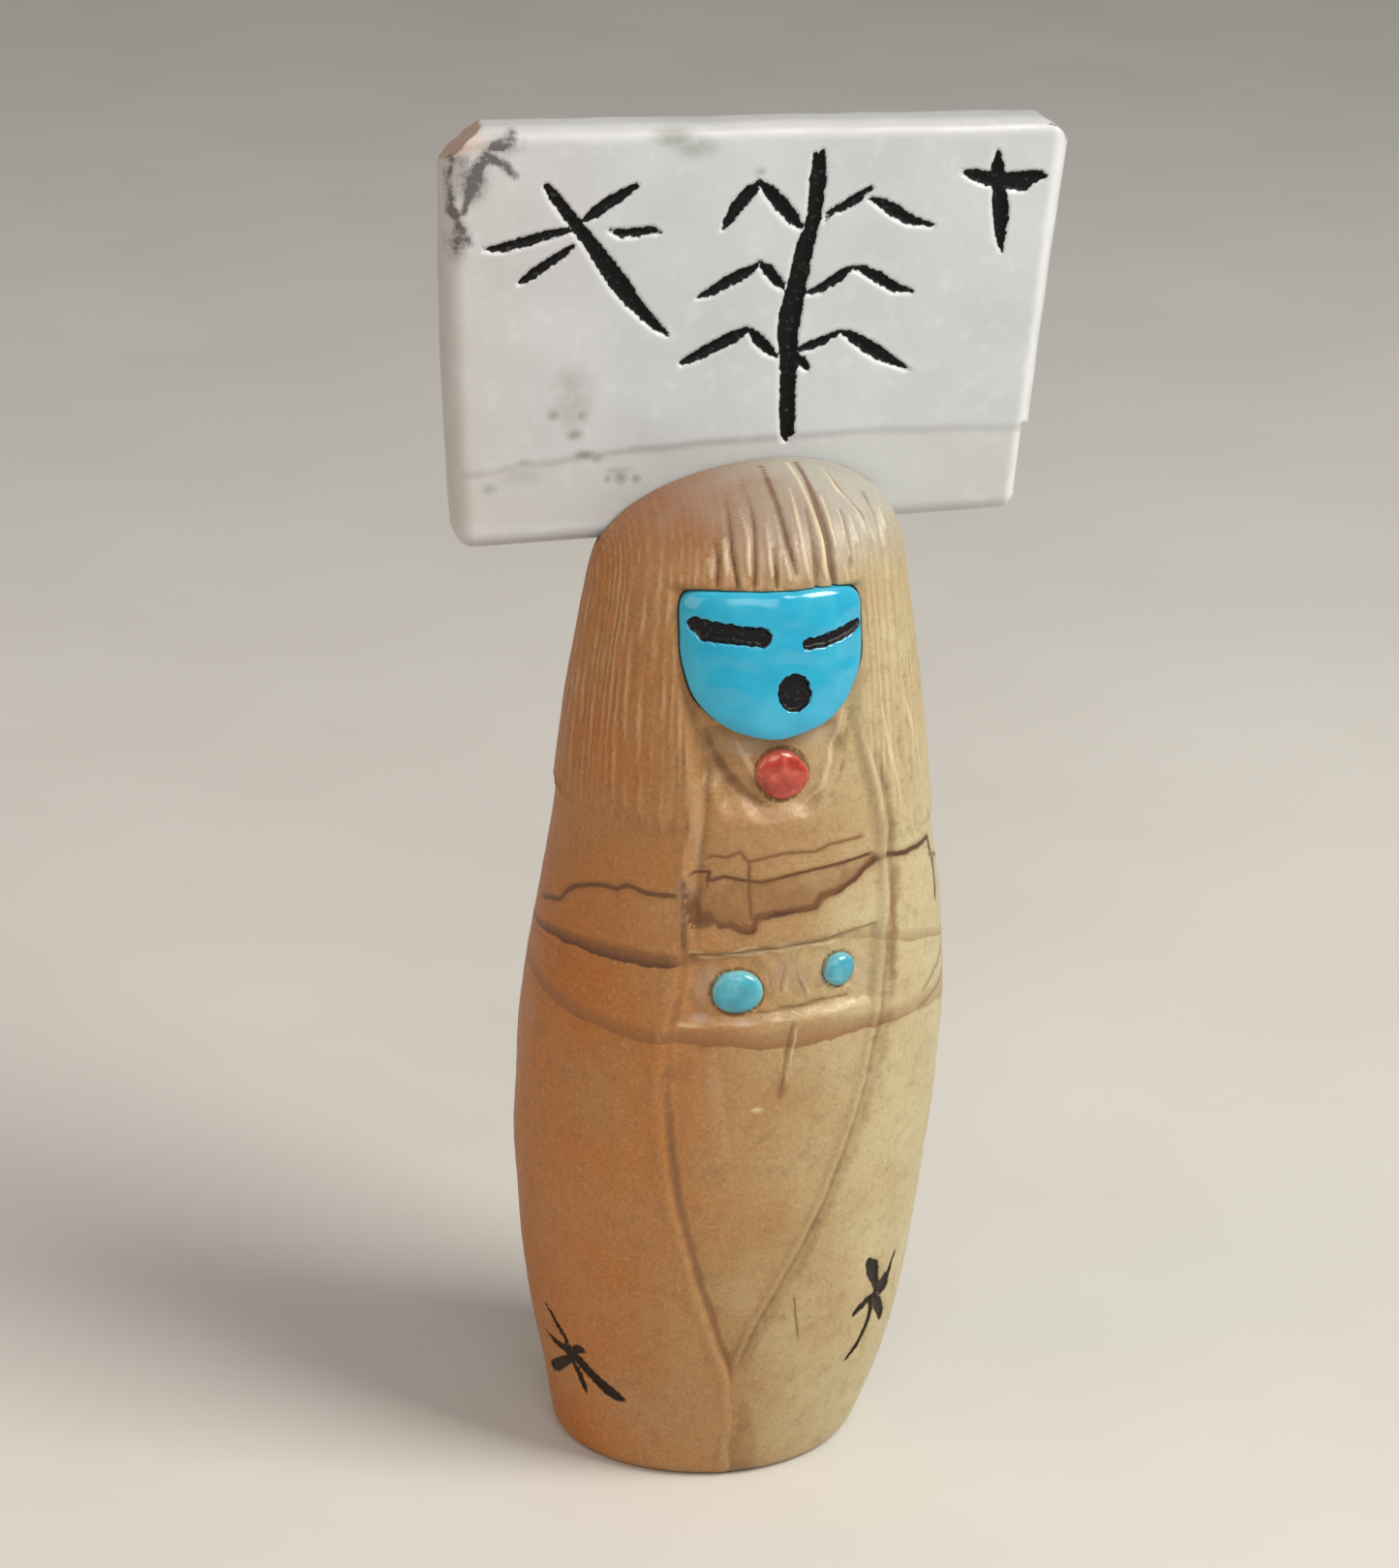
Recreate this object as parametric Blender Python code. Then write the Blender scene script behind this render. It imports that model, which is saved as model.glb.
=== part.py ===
"""Corn maiden carving: a stone figure with a slab headdress, a set-in mask and three set-in dots.

Metres, +Z up. The figure stands on its flat foot with the origin at the middle of the foot, and
faces -Y. The carving keeps to shares of the figure's own height and width. The pieces that are set
into the figure have real sizes of their own, and each bed is cut from the same size and one gap.
"""

import math

import bmesh
import bpy
import numpy as np

# The stone figure
FIGURE_HEIGHT = 0.0757
FIGURE_WIDTH = 0.0314
FIGURE_DEPTH = 0.0276
FOOT_EDGE_RADIUS = 0.0016
FOOT_ARC_LEFT = 0.8
SAW_ALLOWANCE = 0.0003

# The slab headdress, which stands in a slot across the crown
SLAB_TOP_WIDTH = 0.0449
SLAB_FOOT_WIDTH = 0.0414
SLAB_HEIGHT = 0.0294
SLAB_THICKNESS = 0.0045
SLAB_EDGE_RADIUS = 0.0013
SLAB_LEFT_BOW = 0.0004
SLAB_RIGHT_BOW = -0.0001
SLAB_FOOT_RISE = 0.0014
SLAB_SET_BACK = 0.0015
SLAB_OFFSET = 0.0008
SLAB_LEAN = 0.0005
SLAB_SEAT_DEPTH = 0.0056
STEP_HEIGHT = 0.0075
STEP_BOW = 0.0011
STEP_PEAK = 0.35
STEP_SLOPE = 0.00025
STEP_DEPTH = 0.0003
STEP_NOTCH = 0.0004
CHIP_WIDTH = 0.0041
CHIP_HEIGHT = 0.0036

# The mask, the coral dot below it and the two dots on the belt
MASK_WIDTH = 0.0129
MASK_HEIGHT = 0.0102
MASK_OFFSET = 0.0002
MASK_PROUD = 0.0008
MASK_RIM_PROUD = 0.0002
MASK_INSET = 0.0009
MASK_BROW_SHARE = 0.37
MASK_BROW_POWER = 7.0
MASK_CHIN_POWER = 2.25
MASK_DOME_POWER = 6
MOUTH_DIAMETER = 0.0024
MOUTH_DEPTH = 0.0006
LEFT_EYE_WIDTHS = (0.0013, 0.0013)
RIGHT_EYE_WIDTHS = (0.0009, 0.0006)
CORAL_DIAMETER = 0.0035
CORAL_OFFSET = 0.0010
CORAL_SPACING = 0.0013
LEFT_DOT_DIAMETER = 0.0034
LEFT_DOT_OFFSET = -0.0024
LEFT_DOT_LIFT = -0.0004
RIGHT_DOT_DIAMETER = 0.0025
RIGHT_DOT_OFFSET = 0.0056
RIGHT_DOT_LIFT = 0.0004
DOT_PROUD = 0.0007
DOT_RIM_PROUD = 0.0001
DOT_INSET = 0.0014
DOT_DOME_POWER = 2.4

# The film of glue round every piece that is set into the stone
GLUE_GAP = 0.0003

# Depths and widths of the carving
HAIR_STEP = 0.0003
FRINGE_GROOVE = 0.0004
STRAND_GROOVE = 0.0002
STRANDS = 60
STRAND_SHARE = 0.26
STRAND_VARIETY = 0.35
STRAND_SHUFFLE = 7.3
STRAND_SWING = 0.2
STRAND_WAVES = 30
PANEL_DEPTH = 0.0005
EDGE_RIDGE = 0.0003
EDGE_GROOVE = 0.0003
EDGE_WIDTH = 0.0008
NECK_DEPTH = 0.0006
NECK_MARGIN = 0.0012
NECK_SHARE = 0.82
NECK_POWER = 2.6
BELT_EDGE_SLOPE = 0.0002
BELT_DEPTH = 0.0005
BELT_WIDTH = 0.0046
BELT_TILT = 0.04
BELT_FLARE = 0.06
SASH_GROOVE = 0.0002
STROKE_WIDTH = 0.0009
STROKE_TIP_WIDTH = 0.00055
STROKE_DEPTH = 0.0004
STAR_WIDTH = 0.0011
STAR_TIP_WIDTH = 0.0002

# The figure's outline: share of the height, share of the half width
OUTLINE = (
    (0.0, 0.719),
    (0.132, 0.882),
    (0.264, 0.966),
    (0.396, 1.0),
    (0.476, 0.995),
    (0.555, 0.956),
    (0.661, 0.876),
    (0.793, 0.796),
    (0.898, 0.711),
    (1.0, 0.630),
)
SWAY = (
    (0.0, -0.035),
    (0.06, -0.006),
    (0.26, 0.006),
    (0.4, 0.028),
    (0.53, 0.057),
    (0.8, 0.045),
    (1.0, 0.045),
)
DOME_START = 0.898
DOME_POWER = 2.6
DOME_LEAN = 0.15

# Heights of the carving, as shares of the figure's height
FRINGE_FOOT = 0.9145
HAIR_END_LEFT = 0.690
HAIR_END_RIGHT = 0.664
BELT_HEIGHT = 0.540
ROBE_JOINT = 0.114
SASH_POINT = 0.361
HAIR_END_BLEND = 0.007
FRINGE_BLEND = 0.003
FRINGE_REACH = 0.03
CREASE_BLEND = 0.1

# How near to straight ahead the front's carving begins, as a cosine
FRONT_FADE = 0.3
FRINGE_FADE = (0.5, 0.8)
SIDE_FADE = 0.3

# The sash's two creases, as shares of the half width: where they leave the belt and where they meet
SASH_LEFT = -0.27
SASH_RIGHT = 0.13
SASH_TIP = -0.16

# Where the neck's hollow begins and ends to fall away at its rim, as shares of its size
NECK_RIM = (0.8, 1.15)

# The robe's two front edges: share of the height, share of the half width
ROBE_LEFT = (
    (ROBE_JOINT, -0.113),
    (0.20, -0.235),
    (0.25, -0.313),
    (0.31, -0.388),
    (0.37, -0.441),
    (0.47, -0.468),
    (0.56, -0.404),
    (0.64, -0.390),
    (0.715, -0.350),
    (0.79, -0.380),
    (0.92, -0.430),
)
ROBE_RIGHT = (
    (ROBE_JOINT, -0.113),
    (0.158, -0.050),
    (0.21, 0.058),
    (0.25, 0.156),
    (0.36, 0.382),
    (0.42, 0.469),
    (0.505, 0.556),
    (0.56, 0.579),
    (0.65, 0.574),
    (0.70, 0.534),
    (0.79, 0.431),
    (0.92, 0.440),
)

# The mask's closed eyes and mouth, from its middle, as shares of its half width and its height
LEFT_EYE = ((-0.90, 0.157), (-0.10, 0.078))
RIGHT_EYE = ((0.98, 0.098), (0.36, 0.020))
MOUTH = (0.17, -0.34)

# The slab's engraving, as shares of its half width and its height
STALK = ((0.195, 0.939), (0.190, 0.851), (0.185, 0.780), (0.135, 0.620), (0.113, 0.500), (0.130, 0.236))
STALK_SWELL = 1.35
# Each leaf: side, height of its root, run and rise to its elbow, run and rise to its tip
LEAVES = (
    (1, 0.780, 0.190, 0.048, 0.392, -0.032),
    (-1, 0.748, 0.172, 0.109, 0.283, 0.010),
    (1, 0.591, 0.197, 0.059, 0.383, -0.001),
    (-1, 0.601, 0.123, 0.060, 0.306, -0.013),
    (1, 0.454, 0.174, 0.042, 0.398, -0.054),
    (-1, 0.439, 0.132, 0.070, 0.346, -0.006),
)
LEAF_ROOT_GAP = 0.040
INSECT_BODY = ((-0.665, 0.864), (-0.573, 0.772), (-0.461, 0.644), (-0.342, 0.531), (-0.274, 0.498))
INSECT_WINGS = (
    ((-0.587, 0.754), (-0.854, 0.715)),
    ((-0.575, 0.718), (-0.749, 0.631)),
    ((-0.555, 0.776), (-0.381, 0.859)),
    ((-0.465, 0.754), (-0.306, 0.748)),
)
STAR_MIDDLE = (0.786, 0.858)
STAR_TIPS = ((0.773, 0.930), (0.671, 0.877), (0.937, 0.863), (0.804, 0.682))

# Fineness of the shapes before they are simplified, and the triangles kept
FIGURE_SEGMENTS = 240
FOOT_RINGS = 6
FLANK_RINGS = 200
DOME_RINGS = 36
FRONT_CROWDING = 0.35
CROWN_FADE = 0.3
FIGURE_TRIANGLES = 6100
SLOT_CUTS = 7
SLAB_CUTS = (170, 9, 110)
SLAB_TRIANGLES = 2300
MASK_SEGMENTS = 128
MASK_FRONT_RINGS = 30
MASK_BACK_RINGS = 2
MASK_TRIANGLES = 1100
MASK_BED_SEGMENTS = 64
DOT_SEGMENTS = 24
DOT_FRONT_RINGS = 4
HOLE_SEGMENTS = 32
SHARP_ANGLE = math.radians(30)
WELD_DISTANCE = 0.00001

HALF_WIDTH = FIGURE_WIDTH / 2
HALF_DEPTH = FIGURE_DEPTH / 2
MASK_TOP = FRINGE_FOOT * FIGURE_HEIGHT
MASK_FOOT = MASK_TOP - MASK_HEIGHT
CORAL_HEIGHT = MASK_FOOT - CORAL_SPACING - CORAL_DIAMETER / 2
NECK_FOOT = CORAL_HEIGHT - CORAL_DIAMETER / 2 - NECK_MARGIN
BELT_AXIS = BELT_HEIGHT * FIGURE_HEIGHT
LEFT_DOT_HEIGHT = BELT_AXIS + BELT_TILT * LEFT_DOT_OFFSET + LEFT_DOT_LIFT
RIGHT_DOT_HEIGHT = BELT_AXIS + BELT_TILT * RIGHT_DOT_OFFSET + RIGHT_DOT_LIFT
SLAB_FOOT = FIGURE_HEIGHT - SLAB_SEAT_DEPTH
SLAB_PLACE = (SLAB_OFFSET, SLAB_SET_BACK + SLAB_THICKNESS / 2, SLAB_FOOT)


def smooth_line(points, at):
    """A smooth curve through (place, value) points, read at the given places."""
    places, values = np.array(points).T
    slopes = np.gradient(values, places)
    i = np.clip(np.searchsorted(places, at) - 1, 0, len(places) - 2)
    step = places[i + 1] - places[i]
    t = np.clip((at - places[i]) / step, 0, 1)
    start = values[i] * (1 + 2 * t) + slopes[i] * step * t
    end = values[i + 1] * (3 - 2 * t) + slopes[i + 1] * step * (t - 1)
    return start * (1 - t) ** 2 + end * t**2


def step_up(low, high, at):
    """0 below low, 1 above high, and an even slope's smooth rise between."""
    t = np.clip((at - low) / (high - low), 0, 1)
    return t * t * (3 - 2 * t)


def bump(distance, width):
    """A rounded ridge, 1 at no distance and gone at about twice the width."""
    return np.exp(-((distance / width) ** 2))


def figure_section(z):
    """The figure's level section at height z: its middle's x, half width and half depth."""
    share = z / FIGURE_HEIGHT
    rise = np.clip((share - DOME_START) / (1 - DOME_START), 0, 1)
    dome = np.sqrt(1 - rise**DOME_POWER)
    low = np.clip(FOOT_ARC_LEFT * FOOT_EDGE_RADIUS - z, 0, FOOT_EDGE_RADIUS)
    round_in = FOOT_EDGE_RADIUS - np.sqrt(FOOT_EDGE_RADIUS**2 - low**2)
    width_share = smooth_line(OUTLINE, share) * dome
    middle = (smooth_line(SWAY, share) + DOME_LEAN * rise**2) * HALF_WIDTH
    return middle, width_share * HALF_WIDTH - round_in, width_share * HALF_DEPTH - round_in


def front_y(x, z):
    """The y of the figure's plain front, before carving, at a place seen from the front."""
    middle, half_width, half_depth = figure_section(z)
    return -half_depth * np.sqrt(np.clip(1 - ((x - middle) / half_width) ** 2, 0, 1))


def facing(x, z):
    """The angle about Z, from -Y towards +X, that the figure's plain front faces at a place."""
    middle, half_width, half_depth = figure_section(z)
    return math.atan2((x - middle) / half_width**2, -front_y(x, z) / half_depth**2)


def belt_middle(x):
    """The height of the belt's middle line, which rises a little to the right."""
    return BELT_AXIS + BELT_TILT * x


def belt_half(x):
    """Half the belt's width, which grows a little to the right."""
    return (BELT_WIDTH + BELT_FLARE * x) / 2


def hair_relief(angle, z, inside):
    """The hair: a raised mass with strands, over the crown, the sides and the back."""
    share = z / FIGURE_HEIGHT
    right = step_up(-SIDE_FADE, SIDE_FADE, np.sin(angle))
    end = HAIR_END_LEFT + (HAIR_END_RIGHT - HAIR_END_LEFT) * right
    below_fringe = 1 - step_up(FRINGE_FOOT - FRINGE_BLEND, FRINGE_FOOT + FRINGE_BLEND, share)
    hair = step_up(end - HAIR_END_BLEND, end + HAIR_END_BLEND, share) * (1 - below_fringe * inside)
    rise = np.clip((share - DOME_START) / (1 - DOME_START), 0, 1)
    across = np.sqrt(1 - rise**DOME_POWER) * np.sin(angle) + DOME_LEAN * rise**2
    across = np.arcsin(np.clip(across, -1, 1))
    strand = across * STRANDS / (2 * np.pi) + STRAND_SWING * np.sin(STRAND_WAVES * share)
    number = np.round(strand)
    strength = 1 - STRAND_VARIETY * (1 - np.sin(STRAND_SHUFFLE * number))
    groove = bump(strand - number, STRAND_SHARE) * strength
    fringe = step_up(FRINGE_FOOT - FRINGE_REACH, FRINGE_FOOT, share) * step_up(*FRINGE_FADE, np.cos(angle))
    depth = STRAND_GROOVE + (FRINGE_GROOVE - STRAND_GROOVE) * fringe
    return hair * (HAIR_STEP - depth * groove)


def robe_relief(inward):
    """The robe's edge, by how far inside it a place lies: a ridge, a groove and the sunk front panel.

    Below the joint of the two edges no place is inside, and what is left is a ridged seam."""
    ridge = bump(inward + EDGE_WIDTH, EDGE_WIDTH)
    groove = bump(np.abs(inward) - EDGE_WIDTH / 4, EDGE_WIDTH / 2)
    return EDGE_RIDGE * ridge - EDGE_GROOVE * groove - PANEL_DEPTH * step_up(0, EDGE_WIDTH, inward)


def front_relief(x, z):
    """The depth of what is cut into the front panel: the neck's hollow, the belt and the sash's creases."""
    across = np.abs(x) / (NECK_SHARE * MASK_WIDTH / 2)
    down = np.clip(MASK_FOOT - z, 0, None) / (MASK_FOOT - NECK_FOOT)
    neck = 1 - step_up(*NECK_RIM, across**NECK_POWER + down**NECK_POWER)
    neck = neck * (1 - step_up(MASK_FOOT, MASK_FOOT + MASK_INSET, z))
    belt = 1 - step_up(-BELT_EDGE_SLOPE, BELT_EDGE_SLOPE, np.abs(z - belt_middle(x)) - belt_half(x))
    belt_foot = belt_middle(x) - belt_half(x)
    fall = (belt_foot - z) / (belt_foot - SASH_POINT * FIGURE_HEIGHT)
    hangs = step_up(0, CREASE_BLEND, fall) * (1 - step_up(1 - CREASE_BLEND, 1, fall))
    creases = 0
    for root in (SASH_LEFT, SASH_RIGHT):
        creases = creases + bump(x - (root + (SASH_TIP - root) * fall) * HALF_WIDTH, EDGE_WIDTH / 2)
    return NECK_DEPTH * neck + BELT_DEPTH * belt + SASH_GROOVE * hangs * creases


def carving(angle, z):
    """How far the carved surface stands out from the plain figure, at an angle from the front."""
    middle, half_width, _ = figure_section(z)
    x = middle + half_width * np.sin(angle)
    share = z / FIGURE_HEIGHT
    front = step_up(0, FRONT_FADE, np.cos(angle))
    to_left = x - smooth_line(ROBE_LEFT, share) * HALF_WIDTH
    to_right = smooth_line(ROBE_RIGHT, share) * HALF_WIDTH - x
    inward = np.minimum(to_left, to_right)
    under_fringe = front * (1 - step_up(FRINGE_FOOT - 2 * FRINGE_BLEND, FRINGE_FOOT, share))
    hair = hair_relief(angle, z, front * step_up(-EDGE_WIDTH / 3, EDGE_WIDTH / 3, inward))
    panel = step_up(0, EDGE_WIDTH, inward)
    return hair + under_fringe * (robe_relief(inward) - panel * front_relief(x, z))


def stroke_share(x, z, strokes):
    """How deep engraved strokes cut a face at a place, from 0 to 1 in a rounded groove."""
    depth = np.zeros_like(x)
    for (x0, z0), (x1, z1), width0, width1 in strokes:
        run_x, run_z = x1 - x0, z1 - z0
        t = np.clip(((x - x0) * run_x + (z - z0) * run_z) / (run_x**2 + run_z**2), 0, 1)
        away = np.hypot(x - x0 - t * run_x, z - z0 - t * run_z)
        half = (width0 + (width1 - width0) * t) / 2
        depth = np.maximum(depth, 1 - (away / half) ** 2)
    return np.sqrt(depth)


def tapered(points, swell):
    """Strokes along points, thin at both ends and swollen in the middle."""
    last = len(points) - 1
    swollen = [math.sqrt(math.sin(math.pi * i / last)) for i in range(last)] + [0]
    widths = [STROKE_TIP_WIDTH + (STROKE_WIDTH * swell - STROKE_TIP_WIDTH) * share for share in swollen]
    return [(points[i], points[i + 1], widths[i], widths[i + 1]) for i in range(last)]


def slab_strokes():
    """The slab's engraving: a corn plant in the middle, a dragonfly on the left and a star on the right."""

    def place(u, w):
        return u * SLAB_TOP_WIDTH / 2, w * SLAB_HEIGHT

    strokes = tapered([place(*p) for p in STALK], STALK_SWELL)
    for side, root, elbow_run, elbow_rise, tip_run, tip_rise in LEAVES:
        stalk = float(smooth_line([(w, u) for u, w in reversed(STALK)], root))
        start = place(stalk + side * LEAF_ROOT_GAP, root)
        elbow = place(stalk + side * elbow_run, root + elbow_rise)
        tip = place(stalk + side * tip_run, root + tip_rise)
        strokes.append((start, elbow, STROKE_WIDTH, STROKE_TIP_WIDTH))
        strokes.append((elbow, tip, STROKE_TIP_WIDTH, STROKE_WIDTH))
    strokes += tapered([place(*p) for p in INSECT_BODY], STALK_SWELL)
    strokes += [(place(*root), place(*tip), STROKE_WIDTH, STROKE_TIP_WIDTH) for root, tip in INSECT_WINGS]
    strokes += [(place(*STAR_MIDDLE), place(*tip), STAR_WIDTH, STAR_TIP_WIDTH) for tip in STAR_TIPS]
    return strokes


def mask_rim(angle, grow=0.0):
    """The mask's outline from its middle: a flat-topped half oval, grown all round by grow."""
    half = MASK_WIDTH / 2 + grow
    above = np.sin(angle) > 0
    high = np.where(above, MASK_BROW_SHARE, 1 - MASK_BROW_SHARE) * MASK_HEIGHT + grow
    power = np.where(above, MASK_BROW_POWER, MASK_CHIN_POWER)
    across, up = np.abs(np.cos(angle)) / half, np.abs(np.sin(angle)) / high
    return (across**power + up**power) ** (-1 / power)


def mask_middle():
    """The place, seen from the front, from which the mask's outline is drawn."""
    return MASK_OFFSET, MASK_TOP - MASK_BROW_SHARE * MASK_HEIGHT


def mask_bed(z):
    """The y of the flat bed behind the mask, sunk under the figure's front at the mask's edges."""
    x, _ = mask_middle()
    edges = np.array([x - MASK_WIDTH / 2, x + MASK_WIDTH / 2])
    top, foot = (front_y(edges, np.full(2, end)).max() + MASK_INSET for end in (MASK_TOP, MASK_FOOT))
    return foot + (top - foot) * (z - MASK_FOOT) / MASK_HEIGHT


def mask_strokes():
    """The mask's two closed eyes, from the middle of the mask."""
    strokes = []
    for ends, widths in ((LEFT_EYE, LEFT_EYE_WIDTHS), (RIGHT_EYE, RIGHT_EYE_WIDTHS)):
        start, end = [(u * MASK_WIDTH / 2, w * MASK_HEIGHT) for u, w in ends]
        strokes.append((start, end, *widths))
    return strokes


def new_object(name, bm, collection, parent, location=(0, 0, 0), rotation=(0, 0, 0)):
    """An object made from a bmesh, placed by its location and rotation under its parent."""
    mesh = bpy.data.meshes.new(name)
    bm.to_mesh(mesh)
    bm.free()
    obj = bpy.data.objects.new(name, mesh)
    obj.location = location
    obj.rotation_euler = rotation
    obj.parent = parent
    collection.objects.link(obj)
    return obj


def read_points(mesh):
    """The mesh's points as an array of rows."""
    points = np.empty(len(mesh.vertices) * 3)
    mesh.vertices.foreach_get("co", points)
    return points.reshape(-1, 3)


def write_points(mesh, columns):
    """Moves the mesh's points to new x, y and z columns."""
    mesh.vertices.foreach_set("co", np.column_stack(columns).ravel())
    mesh.update()


def simplify(obj, triangles):
    """Keeps about this many triangles where the shape needs them, and joins points closer than a hair."""
    mesh = obj.data
    now = sum(len(face.vertices) - 2 for face in mesh.polygons)
    thin_out = obj.modifiers.new("simplify", "DECIMATE")
    thin_out.ratio = triangles / now
    weld = obj.modifiers.new("weld", "WELD")
    weld.merge_threshold = WELD_DISTANCE


def cut(obj, cutter):
    """Cuts the cutter's shape out of the object."""
    modifier = obj.modifiers.new("cut_" + cutter.name, "BOOLEAN")
    modifier.operation = "DIFFERENCE"
    modifier.object = cutter


def as_cutter(obj):
    """Marks an object that only cuts others."""
    obj.hide_render = True
    obj.display_type = "WIRE"
    return obj


def stone(name, colour, roughness):
    """A plain polished stone material."""
    material = bpy.data.materials.new(name)
    material.use_nodes = True
    shader = material.node_tree.nodes["Principled BSDF"]
    shader.inputs["Base Color"].default_value = (*colour, 1.0)
    shader.inputs["Roughness"].default_value = roughness
    shader.inputs["Metallic"].default_value = 0.0
    return material


def finish(obj, material):
    """Gives the object its material and smooth shading."""
    obj.data.materials.append(material)
    obj.data.shade_smooth()
    obj.data.set_sharp_from_angle(angle=SHARP_ANGLE)


def make_figure(collection, parent):
    """The figure: a sphere's rings drawn out along the outline, then carved."""
    rings = FOOT_RINGS + FLANK_RINGS + DOME_RINGS
    bm = bmesh.new()
    bmesh.ops.create_uvsphere(bm, u_segments=FIGURE_SEGMENTS, v_segments=rings, radius=1)
    obj = new_object("stone_figure", bm, collection, parent)
    x, y, z = read_points(obj.data).T
    ring = np.round(np.arccos(np.clip(-z, -1, 1)) / np.pi * rings)
    turn = np.arctan2(x, -y)
    angle = turn - FRONT_CROWDING * np.sin(turn)
    across = np.clip(ring / FOOT_RINGS, 0, 1)
    flank = np.clip((ring - FOOT_RINGS) / FLANK_RINGS, 0, 1)
    dome = np.sin(np.clip((ring - FOOT_RINGS - FLANK_RINGS) / DOME_RINGS, 0, 1) * np.pi / 2)
    shoulder = DOME_START * FIGURE_HEIGHT
    height = -SAW_ALLOWANCE + (shoulder + SAW_ALLOWANCE) * flank + (FIGURE_HEIGHT - shoulder) * dome
    middle, half_width, half_depth = figure_section(height)
    relief = carving(angle, height) * step_up(0, CROWN_FADE, 1 - dome)
    write_points(
        obj.data,
        (
            middle + (half_width + relief) * across * np.sin(angle),
            -(half_depth + relief) * across * np.cos(angle),
            height,
        ),
    )
    finish(obj, stone("banded_tan_stone", (0.38, 0.22, 0.10), 0.45))
    return obj


def slab_form(x, y, z, grow=0.0):
    """A point of the unit cube moved to its place in the slab, in the slab's own frame."""
    up = (z + 1) / 2
    half = (SLAB_FOOT_WIDTH + (SLAB_TOP_WIDTH - SLAB_FOOT_WIDTH) * up) / 2
    half = half + np.where(x < 0, SLAB_LEFT_BOW, SLAB_RIGHT_BOW) * 4 * up * (1 - up) + grow
    foot = SLAB_FOOT_RISE / 2 * x
    return (
        x * half + SLAB_LEAN * up,
        y * (SLAB_THICKNESS / 2 + grow),
        foot + (SLAB_HEIGHT - foot) * up + grow * z,
    )


def round_edges(points, low, high, radius):
    """Rounds a dense box's edges: what lies past the inner box is drawn in to the radius."""
    inner = np.clip(points, low + radius, high - radius)
    away = points - inner
    length = np.linalg.norm(away, axis=1, keepdims=True)
    return inner + away * np.where(length > radius, radius / np.maximum(length, 1e-9), 1)


def make_slab(collection, parent):
    """The slab: a box with leaning sides, worn edges, a stepped foot, a chipped corner and engraving."""
    bm = bmesh.new()
    bmesh.ops.create_cube(bm, size=2)
    for axis, cuts in enumerate(SLAB_CUTS):
        along = [abs((e.verts[0].co - e.verts[1].co).normalized()[axis]) > 0.999 for e in bm.edges]
        edges = [edge for edge, wanted in zip(bm.edges, along) if wanted]
        bmesh.ops.subdivide_edges(bm, edges=edges, cuts=cuts, use_grid_fill=True)
    obj = new_object("slab_headdress", bm, collection, parent, SLAB_PLACE)
    x, y, z = read_points(obj.data).T
    box = np.array([SLAB_TOP_WIDTH / 2, SLAB_THICKNESS / 2, SLAB_HEIGHT / 2])
    x, y, z = (round_edges(np.column_stack((x, y, z)) * box, -box, box, SLAB_EDGE_RADIUS) / box).T
    x, y, z = slab_form(x, y, z)
    step = STEP_HEIGHT - STEP_BOW * (x / (SLAB_TOP_WIDTH / 2) - STEP_PEAK) ** 2
    low = 1 - step_up(-STEP_SLOPE, STEP_SLOPE, z - step)
    y = y + low * STEP_DEPTH * step_up(0, SLAB_THICKNESS / 4, -y)
    x = x - low * STEP_NOTCH * step_up(0, SLAB_TOP_WIDTH / 4, x)
    length = math.hypot(CHIP_WIDTH, CHIP_HEIGHT)
    normal_x, normal_z = -CHIP_HEIGHT / length, CHIP_WIDTH / length
    from_corner = x + SLAB_TOP_WIDTH / 2 - CHIP_WIDTH
    past = np.clip(from_corner * normal_x + (z - SLAB_HEIGHT) * normal_z, 0, None)
    x, z = x - past * normal_x, z - past * normal_z
    engraved = STROKE_DEPTH * stroke_share(x, z, slab_strokes()) * step_up(0, SLAB_THICKNESS / 4, -y)
    write_points(obj.data, (x, y + engraved, z))
    simplify(obj, SLAB_TRIANGLES)
    finish(obj, stone("white_veined_stone", (0.60, 0.60, 0.57), 0.3))
    return obj


def make_slot_cutter(collection, parent):
    """The slot across the crown: the slab's own form, grown by the glue gap, in a grid of small faces."""
    bm = bmesh.new()
    bmesh.ops.create_cube(bm, size=2)
    bmesh.ops.subdivide_edges(bm, edges=list(bm.edges), cuts=SLOT_CUTS, use_grid_fill=True)
    obj = new_object("slot_cutter", bm, collection, parent, SLAB_PLACE)
    write_points(obj.data, slab_form(*read_points(obj.data).T, GLUE_GAP))
    return as_cutter(obj)


def make_saw_cutter(collection, parent):
    """The flat cut under the foot."""
    bm = bmesh.new()
    bmesh.ops.create_cube(bm, size=FIGURE_WIDTH * 2)
    return as_cutter(new_object("saw_cutter", bm, collection, parent, (0, 0, -FIGURE_WIDTH)))


def pillow(segments, front_rings, back_rings):
    """A sphere read as a pillow whose front faces +Z, with its mesh and, for each point, the angle
    round the rim, the share of the radius and 1 on the front or 0 on the back."""
    rings = front_rings + 1 + back_rings
    bm = bmesh.new()
    bmesh.ops.create_uvsphere(bm, u_segments=segments, v_segments=rings, radius=1)
    points = np.array([v.co for v in bm.verts])
    x, y, z = points.T
    ring = np.round(np.arccos(np.clip(z, -1, 1)) / np.pi * rings)
    front = ring <= front_rings
    share = np.where(front, ring / front_rings, (rings - ring) / back_rings)
    return bm, np.arctan2(y, x), share, front


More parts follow.
